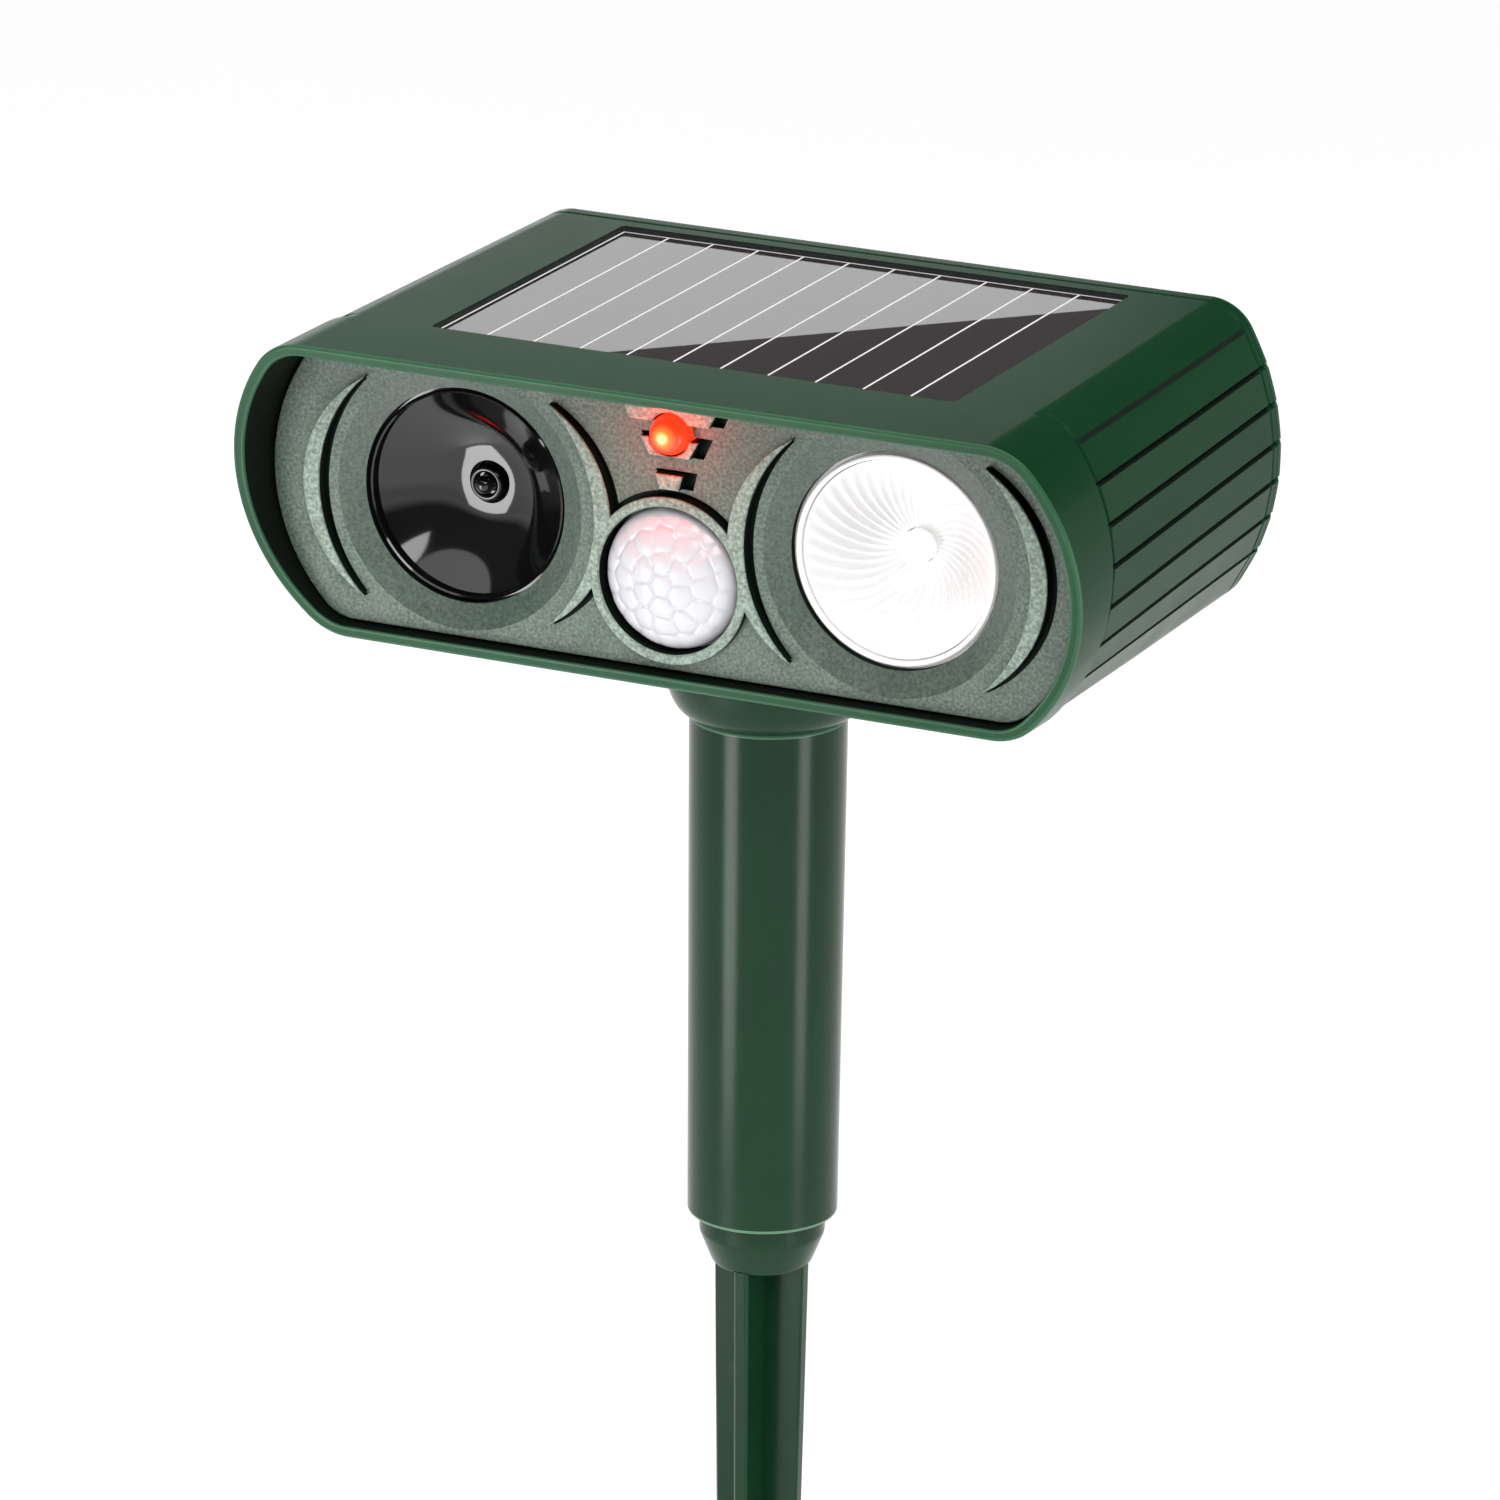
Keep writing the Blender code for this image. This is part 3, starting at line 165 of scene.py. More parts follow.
class Nodes:
    """A material's node tree, with short calls for the few nodes used here."""

    def __init__(self, name, roughness, metallic=0.0, specular=0.5):
        self.material = bpy.data.materials.new(name)
        self.material.use_nodes = True
        self.tree = self.material.node_tree
        self.shader = self.tree.nodes["Principled BSDF"]
        fill(self.shader, {"Roughness": roughness, "Metallic": metallic, "Specular IOR Level": specular})
        self.coordinates = self.tree.nodes.new("ShaderNodeTexCoord").outputs["Object"]

    def link(self, output, target):
        self.tree.links.new(output, target)

    def drive(self, socket, output):
        self.link(output, self.shader.inputs[socket])

    def tint(self, value, dark, light):
        """Colours the shader from dark to light as value rises."""
        self.drive("Base Color", self.ramp(value, [(0.3, dark), (0.7, light)]))

    def noise(self, size, detail=3.0, stretch=(1.0, 1.0, 1.0)):
        """Noise whose features are about size metres across."""
        mapping = self.tree.nodes.new("ShaderNodeMapping")
        fill(mapping, {"Scale": stretch})
        self.link(self.coordinates, mapping.inputs["Vector"])
        texture = self.tree.nodes.new("ShaderNodeTexNoise")
        fill(texture, {"Scale": 1.0 / size, "Detail": detail})
        self.link(mapping.outputs["Vector"], texture.inputs["Vector"])
        return texture.outputs["Fac"]

    def ramp(self, value, stops):
        node = self.tree.nodes.new("ShaderNodeValToRGB")
        while len(node.color_ramp.elements) < len(stops):
            node.color_ramp.elements.new(0.5)
        for element, (position, color) in zip(node.color_ramp.elements, stops):
            element.position = position
            element.color = (*color, 1.0)
        self.link(value, node.inputs["Fac"])
        return node.outputs["Color"]

    def spread(self, value, low, high, start=0.3, end=0.7):
        node = self.tree.nodes.new("ShaderNodeMapRange")
        fill(node, {"From Min": start, "From Max": end, "To Min": low, "To Max": high})
        self.link(value, node.inputs["Value"])
        return node.outputs["Result"]

    def bump(self, value, height, strength=1.0):
        node = self.tree.nodes.new("ShaderNodeBump")
        fill(node, {"Distance": height, "Strength": strength})
        self.link(value, node.inputs["Height"])
        self.drive("Normal", node.outputs["Normal"])


def shade(color, factor):
    return tuple(channel * factor for channel in color)


def moulded(name, color, roughness, specular=0.5, grain=0.6 * MM, height=0.01 * MM, vary=0.12):
    """Moulded plastic: a fine texture, faint flow marks and a slightly uneven gloss."""
    nodes = Nodes(name, roughness, 0.0, specular)
    flow = nodes.noise(28 * MM, 4.0, (1.0, 0.35, 1.0))
    nodes.tint(flow, shade(color, 1 - vary), shade(color, 1 + vary))
    gloss = nodes.noise(9 * MM, 5.0)
    nodes.drive("Roughness", nodes.spread(gloss, roughness * 0.88, roughness * 1.12))
    nodes.bump(nodes.noise(grain, 2.0), height)
    return nodes.material


def face_material(name, color, roughness, specular=0.35):
    """Painted plastic with a coarse spark-eroded grain, light on its peaks and dark in its pits."""
    nodes = Nodes(name, roughness, 0.0, specular)
    grain = nodes.noise(0.55 * MM, 3.0)
    tones = [(0.34, shade(color, 0.62)), (0.5, color), (0.66, shade(color, 1.45))]
    nodes.drive("Base Color", nodes.ramp(grain, tones))
    nodes.bump(grain, 0.10 * MM, 0.7)
    nodes.drive("Roughness", nodes.spread(nodes.noise(6 * MM), roughness - 0.06, roughness + 0.08))
    return nodes.material


def metal(name, color, roughness, stretch=(1.0, 1.0, 8.0)):
    nodes = Nodes(name, roughness, 1.0)
    brushed = nodes.noise(0.8 * MM, 4.0, stretch)
    nodes.tint(brushed, shade(color, 0.82), color)
    nodes.drive("Roughness", nodes.spread(brushed, roughness * 0.75, roughness * 1.25))
    nodes.bump(brushed, 0.01 * MM)
    return nodes.material


def glowing(name, color, roughness, glow, strength, core=None):
    """A lit piece. With a core, the glow whitens towards that point."""
    nodes = Nodes(name, roughness, 0.0, 0.4)
    nodes.tint(nodes.noise(3 * MM, 2.0), shade(color, 0.93), color)
    fill(nodes.shader, {"Emission Color": (*glow, 1.0), "Emission Strength": strength})
    if core:
        place, reach, hot = core
        distance = nodes.tree.nodes.new("ShaderNodeVectorMath")
        distance.operation = "DISTANCE"
        distance.inputs[1].default_value = place
        nodes.link(nodes.coordinates, distance.inputs[0])
        share = nodes.spread(distance.outputs["Value"], 0.0, 1.0, 0.0, reach)
        stops = [(0.0, hot), (0.12, hot), (0.42, (1.0, 0.11, 0.02)), (0.8, glow), (1.0, glow)]
        nodes.drive("Emission Color", nodes.ramp(share, stops))
    return nodes.material


def cell_material():
    """Amorphous cells: brown-black under a clear gloss, with a faint streak along each strip."""
    nodes = Nodes("solar_cells", 0.3, 0.0, 0.0)
    streak = nodes.noise(2.5 * MM, 4.0, (1.0, 0.06, 1.0))
    nodes.tint(streak, (0.012, 0.007, 0.008), (0.017, 0.010, 0.011))
    fill(nodes.shader, {"Coat Weight": 1.0, "Coat Roughness": 0.0, "Coat IOR": 1.8})
    nodes.bump(nodes.noise(30 * MM, 1.0), 0.004 * MM)
    return nodes.material


def clear_material():
    nodes = Nodes("clear_cover", 0.05, 0.0, 0.5)
    fill(nodes.shader, {"Base Color": (0.85, 0.88, 0.88, 1.0), "Alpha": 0.008})
    nodes.drive("Roughness", nodes.spread(nodes.noise(12 * MM, 4.0), 0.03, 0.07))
    return nodes.material


GREEN = moulded("housing_green", (0.0046, 0.033, 0.0118), 0.24, specular=0.03)
# Lighter green on the rim's rounded edges: a painted highlight.
GREEN_EDGE_HIGHLIGHT = moulded("housing_green_painted_highlight", (0.020, 0.082, 0.036), 0.33, specular=0.22)
# Lighter green on the rim's front face and on the rounded edges and chamfers at the back: painted light.
GREEN_RIM_PAINTED_LIGHT = moulded("housing_green_rim_painted_light", (0.010, 0.056, 0.022), 0.36, specular=0.16)
# Near-black green in the grip grooves and just behind the hood's step: painted shade.
GROOVE_SHADE = moulded("grip_groove_painted_shade", (0.0016, 0.0065, 0.0030), 0.6, specular=0.1)
# Near-black green inside the hood and on the walls of the panel's small holes: painted shade.
HOOD_INSIDE_SHADE = moulded("hood_inside_painted_shade", (0.0025, 0.0055, 0.0035), 0.6, specular=0.1)
TUBE_GREEN = moulded("tube_green", (0.0036, 0.027, 0.0098), 0.2, specular=0.2)
# Pale green on the tube's rolled top and foot edges: a painted highlight.
TUBE_EDGE_HIGHLIGHT = moulded("tube_green_painted_highlight", (0.075, 0.17, 0.10), 0.3, specular=0.35)
FACE = face_material("face_grain", (0.092, 0.126, 0.099), 0.5)
# Lighter grain on the tops and rounded edges of the panel's raised pieces and on the hole countersinks:
# painted light.
FACE_PAINTED_LIGHT = face_material("face_grain_painted_light", (0.185, 0.242, 0.198), 0.45)
# Near-black on the side walls of raised pieces and on the walls of slots, holes, wells and recesses:
# painted shade.
FACE_SHADE = moulded("face_painted_shade", (0.0030, 0.0075, 0.0048), 0.55, specular=0.12)
# A darker copy of the panel's grain on the bezel cones: painted shade.
CONE_SHADE = face_material("bezel_grain_painted_shade", (0.048, 0.076, 0.057), 0.38, 0.8)
BLACK_GLOSS = moulded("black_gloss", (0.0035, 0.0035, 0.004), 0.07, 0.6, height=0.0, vary=0.3)
BLACK = moulded("black_plastic", (0.010, 0.010, 0.010), 0.45, specular=0.3, height=0.02 * MM)
RUBBER = moulded("black_rubber", (0.013, 0.013, 0.014), 0.72, specular=0.25, height=0.03 * MM)
REFLECTOR = moulded("reflector_white", (0.88, 0.87, 0.87), 0.14, height=0.0, vary=0.02)
STROBE = glowing("strobe_lens", (0.92, 0.92, 0.90), 0.15, (1.0, 0.99, 0.96), 0.3)
DOME = moulded("sensor_lens", (0.56, 0.56, 0.59), 0.18, height=0.0, vary=0.03)
MARK = moulded("white_mark", (0.75, 0.75, 0.73), 0.5, height=0.01 * MM, vary=0.04)
CELL = cell_material()
GRID = moulded("solar_grid", (0.72, 0.69, 0.69), 0.5, specular=0.3, height=0.0, vary=0.05)
CLEAR = clear_material()
STEEL = metal("plated_steel", (0.62, 0.62, 0.60), 0.28)
COPPER = metal("copper_wire", (0.72, 0.33, 0.15), 0.35, (1.0, 1.0, 20.0))
BOARD = moulded("circuit_board", (0.012, 0.11, 0.04), 0.4, grain=1.5 * MM, height=0.02 * MM)
CHIP = moulded("component_black", (0.016, 0.016, 0.017), 0.5, specular=0.3)
SLEEVE = moulded("capacitor_blue", (0.02, 0.045, 0.20), 0.35)
WRAP = moulded("cell_wrap", (0.04, 0.22, 0.075), 0.3)
RED_WIRE = moulded("red_wire", (0.45, 0.012, 0.012), 0.45)
WHITE_WIRE = moulded("white_wire", (0.7, 0.7, 0.68), 0.45)


# ---------------------------------------------------------------- mesh helpers


def add_loft(bm, rings, closed_loop=False, shades=None):
    """Skins rings of points. shades gives the material index of the band after each ring."""
    rows = [[bm.verts.new(point) for point in ring] for ring in rings]
    count = len(rows[0])
    pairs = list(zip(rows, rows[1:]))
    if closed_loop:
        pairs.append((rows[-1], rows[0]))
    for band, (row, other) in enumerate(pairs):
        for i in range(count):
            j = (i + 1) % count
            face = bm.faces.new((row[i], row[j], other[j], other[i]))
            face.material_index = shades[band] if shades else 0
    if not closed_loop:
        first = bm.faces.new(rows[0])
        last = bm.faces.new(rows[-1])
        if shades:
            first.material_index = shades[-2]
            last.material_index = shades[-1]


def add_lathe(bm, profile, matrix=HERE, segments=96, ring=False, shades=None):
    """Turns a profile of (radius, height) points about its own Z."""
    rows = []
    for radius, height in profile:
        if radius < 1e-7:
            rows.append([bm.verts.new(matrix @ Vector((0.0, 0.0, height)))])
            continue
        row = []
        for i in range(segments):
            flat = polar(radius, 2 * math.pi * i / segments)
            row.append(bm.verts.new(matrix @ Vector((*flat, height))))
        rows.append(row)
    pairs = list(zip(rows, rows[1:]))
    if ring:
        pairs.append((rows[-1], rows[0]))
    for band, (row, other) in enumerate(pairs):
        join_rows(bm, row, other, shades[band] if shades else 0)


def join_rows(bm, row, other, index=0):
    """Quads between two rings of points, or triangles where one ring is a single point."""
    count = max(len(row), len(other))
    if count == 1:
        return
    for i in range(count):
        j = (i + 1) % count
        corners = [row[i % len(row)], row[j % len(row)], other[j % len(other)], other[i % len(other)]]
        kept = [v for k, v in enumerate(corners) if v is not corners[k - 1]]
        bm.faces.new(kept).material_index = index


def add_box(bm, low, high):
    low = Vector(low)
    high = Vector(high)
    matrix = Matrix.Translation((low + high) / 2) @ Matrix.Diagonal((*(high - low), 1.0))
    return bmesh.ops.create_cube(bm, size=1.0, matrix=matrix)


def arc(centre, radius, start, end, steps):
    angles = [start + (end - start) * i / steps for i in range(steps + 1)]
    return [
        (centre[0] + radius * math.cos(a), centre[1] + radius * math.sin(a)) for a in angles
    ]


def rounded_box(half_x, half_z, radius, steps=6):
    """The (x, z) outline of a rectangle with round corners, about its middle."""
    points = []
    for i, (x, z) in enumerate(((1, 1), (-1, 1), (-1, -1), (1, -1))):
        centre = (x * (half_x - radius), z * (half_z - radius))
        points += arc(centre, radius, math.pi / 2 * i, math.pi / 2 * (i + 1), steps)
    return points


def add_plate(bm, centre, half, radius, levels):
    """A rounded plate that faces along Y: its (x, z) centre and half size, at each (y, inset)."""
    rings = []
    for y, inset in levels:
        outline = rounded_box(half[0] - inset, half[1] - inset, radius)
        rings.append([(centre[0] + x, y, centre[1] + z) for x, z in outline])
    add_loft(bm, rings)


def new_object(name, bm, materials, matrix=HERE):
    bmesh.ops.recalc_face_normals(bm, faces=bm.faces)
    mesh = bpy.data.meshes.new(name)
    bm.to_mesh(mesh)
    bm.free()
    mesh.transform(matrix)
    for material in materials:
        mesh.materials.append(material)
    obj = bpy.data.objects.new(name, mesh)
    bpy.context.scene.collection.objects.link(obj)
    return obj


def combine(obj, build, operation="DIFFERENCE", materials=(FACE_SHADE,), matrix=HEAD):
    """Cuts from obj, or joins to it, what build adds to an empty bmesh; its faces keep their material, by
    default the painted shade, so cut walls come out dark.
    """
    bm = bmesh.new()
    build(bm)
    other = new_object("helper", bm, materials, matrix)
    modifier = obj.modifiers.new("Combine", "BOOLEAN")
    modifier.operation = operation
    modifier.object = other
    modifier.solver = "EXACT"
    modifier.material_mode = "TRANSFER"
    bake(obj)
    bpy.data.objects.remove(other)


def bake(obj):
    """Applies obj's modifiers to its mesh."""
    graph = bpy.context.evaluated_depsgraph_get()
    mesh = bpy.data.meshes.new_from_object(obj.evaluated_get(graph))
    obj.modifiers.clear()
    obj.data = mesh


def bevel(obj, width, segments=2, angle=35):
    modifier = obj.modifiers.new("Bevel", "BEVEL")
    modifier.width = width
    modifier.segments = segments
    modifier.limit_method = "ANGLE"
    modifier.angle_limit = math.radians(angle)
    bake(obj)


def settle(obj, body, slot, *nodes, angle=30):
    """Smooths obj, puts it on its body and lets it stand for its CAD nodes."""
    obj.data.shade_smooth()
    obj.data.set_sharp_from_angle(angle=math.radians(angle))
    weighted = obj.modifiers.new("Weighted", "WEIGHTED_NORMAL")
    weighted.keep_sharp = True
    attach(obj, body)
    if nodes:
        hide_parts(*nodes)
    return obj


def turned(name, profile, materials, body, slot, *nodes, matrix=HERE, ring=False, shades=None):
    bm = bmesh.new()
    add_lathe(bm, profile, matrix, ring=ring, shades=shades)
    return settle(new_object(name, bm, materials), body, slot, *nodes)


# ---------------------------------------------------------------- head outline


def between(front, rear, depth):
    return front + (rear - front) * depth / HEAD_DEPTH


def head_outline(depth, inset=0.0, top_inset=None, grip=0.0, dig=0.0):
    """The head's closed (x, z) outline at a depth: flat top and bottom, and bulging sides.

    Inset moves it inwards all round. Grip, 0 to 1, steps the sides in, flattens them between the
    grooves and sinks the grooves. Dig moves only the sides in.
    """
    half_width = between(FRONT_HALF_WIDTH, REAR_HALF_WIDTH, depth) - inset
    side = between(FRONT_SIDE_RADIUS, REAR_SIDE_RADIUS, depth) - inset
    corner = between(FRONT_CORNER_RADIUS, REAR_CORNER_RADIUS, depth) - inset
    bulge = between(FRONT_BULGE_Z, REAR_BULGE_Z, depth)
    top = HEAD_HEIGHT / 2 - (inset if top_inset is None else top_inset)
    bottom = -HEAD_HEIGHT / 2 + inset
    centre_x = half_width - side
    ends = []
    for z in (top - corner, bottom + corner):
        x = centre_x + math.sqrt((side - corner) ** 2 - (z - bulge) ** 2)
        ends.append((x, z, math.atan2(z - bulge, x - centre_x)))
    (high_x, high_z, high_angle), (low_x, low_z, low_angle) = ends
    step = GRIP_STEP * grip + dig

    def on_side(angle, sink):
        radius = side - step - sink
        return Vector((centre_x + radius * math.cos(angle), bulge + radius * math.sin(angle)))

    def on_corner(centre, angle, share):
        radius = corner - step * share
        return centre + Vector((math.cos(angle), math.sin(angle))) * radius

    right = []
    for i in range(CORNER_STEPS):
        share = i / CORNER_STEPS
        angle = math.pi / 2 + (high_angle - math.pi / 2) * share
        right.append(on_corner(Vector((high_x, high_z)), angle, share))
    groove = GROOVE_WIDTH / side / 2
    facet = (low_angle - high_angle) / GRIP_FACETS
    for i in range(GRIP_FACETS):
        start = high_angle + facet * i - (groove if i else 0.0)
        end = high_angle + facet * (i + 1) + (groove if i < GRIP_FACETS - 1 else 0.0)
        for k in range(FACET_STEPS + 1):
            share = k / FACET_STEPS
            curved = on_side(start + (end - start) * share, 0.0)
            flat = on_side(start, 0.0).lerp(on_side(end, 0.0), share)
            right.append(curved.lerp(flat, grip))
        if i < GRIP_FACETS - 1:
            right.append(on_side(high_angle + facet * (i + 1), GROOVE_DEPTH * grip))
    for i in range(1, CORNER_STEPS + 1):
        share = i / CORNER_STEPS
        angle = low_angle + (-math.pi / 2 - low_angle) * share
        right.append(on_corner(Vector((low_x, low_z)), angle, 1 - share))
    left = [Vector((-point.x, point.y)) for point in reversed(right)]
    return right + left


def ring_at(depth, lean=0.0, **options):
    """The outline as a ring of points; lean tilts it, its top forward and its bottom back."""
    return [(x, depth - lean * z, z) for x, z in head_outline(depth, **options)]


def edge_rings(radius, steps, inset, inwards, **options):
    """Rings that round an edge of the rim: from its front line out to the wall, or the other way."""
    rings = []
    for i in range(steps + 1):
        angle = math.pi / 2 * i / steps
        turn = radius * (1 - math.sin(angle)) * (1 if inwards else -1)
        rings.append(ring_at(radius * (1 - math.cos(angle)), inset=inset + turn, **options))
    return rings


# ---------------------------------------------------------------- head mouldings


def paint_groove_shade(bm, index):
    """Gives the grip grooves the material of that index, a painted shade, and takes it off the flat top
    and bottom.
    """
    flat = HEAD_HEIGHT / 2 - 4.0 * MM
    for face in bm.faces:
        height = abs(face.calc_center_median().z)
        lengths = [edge.calc_length() for edge in face.edges]
        if face.material_index == index and height > flat:
            face.material_index = 0
        if len(lengths) == 4 and max(lengths) > 20 * MM and min(lengths) < 1.1 * MM and height < flat:
            if face.material_index == 0:
                face.material_index = index


def make_head_shell():
    rim = {"lean": RIM_SLOPE}
    outer = edge_rings(0.65 * MM, 4, 0.0, True, **rim)
    inner = edge_rings(0.45 * MM, 3, HOOD_WALL, False, **rim)
    step = HOOD_DEPTH
    body = [
        ring_at(step - 0.35 * MM),
        ring_at(step - 0.12 * MM, dig=0.08 * MM),
        ring_at(step, grip=0.5, dig=0.25 * MM),
        ring_at(step + 0.05 * MM, grip=1.0, dig=0.55 * MM),
        ring_at(step + 2.00 * MM, grip=1.0, dig=0.55 * MM),
        ring_at(step + 2.25 * MM, grip=1.0, dig=0.10 * MM),
        ring_at(step + 2.45 * MM, grip=1.0),
        ring_at((step + SHELL_END) / 2, grip=1.0),
        ring_at(SHELL_END - 0.3 * MM, grip=1.0),
        ring_at(SHELL_END, grip=1.0, inset=0.3 * MM),
    ]
    inside = [
        ring_at(SHELL_END, inset=WALL, top_inset=WALL + 0.5 * MM),
        ring_at(step - 0.3 * MM, inset=WALL, top_inset=WALL + 0.5 * MM),
        ring_at(step - 1.5 * MM, inset=HOOD_WALL),
    ]
    rings = outer + body + inside + inner[::-1]
    # The rim's rounded edges take the painted highlight, its front face painted light, and the inside of
    # the hood painted shade.
    shades = [1] * (len(outer) - 1) + [0] * (len(body) + 1) + [3] * (len(inside))
    shades += [1] * (len(inner) - 1) + [2]
    # The bands just behind the hood's step take the groove material too: a painted shadow line at the
    # step.
    for band in range(2, 5):
        shades[len(outer) - 1 + band] = 4
    bm = bmesh.new()
    add_loft(bm, rings, closed_loop=True, shades=shades)
    paint_groove_shade(bm, 4)
    shell = new_object("housing", bm, (GREEN, GREEN_EDGE_HIGHLIGHT, GREEN_RIM_PAINTED_LIGHT, HOOD_INSIDE_SHADE, GROOVE_SHADE), HEAD)
    low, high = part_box("solar_cover")
    margin = 0.2 * MM

    def recess(bm):
        half = ((high.x - low.x) / 2 + margin, (high.y - low.y) / 2 + margin)
        middle_y = (low.y + high.y) / 2 - RIM_Y
        outline = rounded_box(*half, 0.8 * MM, 3)
        top = HEAD_HEIGHT / 2
        add_loft(
            bm,
            [[(x, middle_y + y, z) for x, y in outline] for z in (top - 2.0 * MM, top + MM)],
        )

    combine(shell, recess)
    settle(shell, "head", "housing", "head_shell", angle=26)


def crescent_outline(eye_x, direction, share, radii):
    """An outline beside an eye: radii gives its near and far radius for a swell of 0 to 1."""
    near = []
    far = []
    for i in range(CRESCENT_STEPS + 1):
        angle = CRESCENT_SPAN * (2 * i / CRESCENT_STEPS - 1) * share
        swell = math.cos(math.pi / 2 * angle / CRESCENT_SPAN)
        for radius, points in zip(radii(swell), (near, far)):
            x = eye_x + direction * radius * math.cos(angle)
            points.append((x, EYE_Z + radius * math.sin(angle)))
    return near + far[::-1]


def crescent(eye_x, direction, inset=0.0):
    """A crescent beside an eye: thickest at its middle and pointed at both ends."""

    def radii(swell):
        width = CRESCENT_WIDTH * swell + 0.15 * MM
        trim = min(inset, width * 0.42)
        return CRESCENT_RADIUS + trim, CRESCENT_RADIUS + width - trim

    return crescent_outline(eye_x, direction, 1 - 0.6 * inset / CRESCENT_WIDTH, radii)


def crescent_groove(eye_x, direction):
    """The narrow groove along a crescent's edge on the +X side."""

    def radii(swell):
        edge = CRESCENT_RADIUS
        away = -1
        if direction > 0:
            edge += CRESCENT_WIDTH * swell + 0.15 * MM
            away = 1
        reach = 0.30 * MM + 0.80 * MM * swell
        return edge - away * 0.05 * MM, edge + away * reach

    return crescent_outline(eye_x, direction, 0.98, radii)


# Funnel blocks over the sensor: bottom, top, half width at the bottom, half width at the top.
FUNNEL_BLOCKS = [
    (17.9 * MM, 20.9 * MM, 6.9 * MM, 8.5 * MM),
    (12.3 * MM, 15.3 * MM, 3.5 * MM, 5.1 * MM),
    (6.9 * MM, 9.4 * MM, 1.7 * MM, 2.4 * MM),
]
SLOT_WIDTH = 2.0 * MM


def add_raised(bm, outlines, depths, shades):
    """A raised solid: outlines of (x, z) points, one for each depth."""
    rings = [[(x, depth, z) for x, z in outline] for outline, depth in zip(outlines, depths)]
    add_loft(bm, rings, shades=shades)


def add_slot(bm, outline, depth):
    """A cutter for a slot of that depth in the panel's front; its walls take the painted shade, as a dark
    shadow line.
    """
    add_raised(bm, [outline, outline], [FACE_DEPTH - MM, FACE_DEPTH + depth], [1, 1, 1])


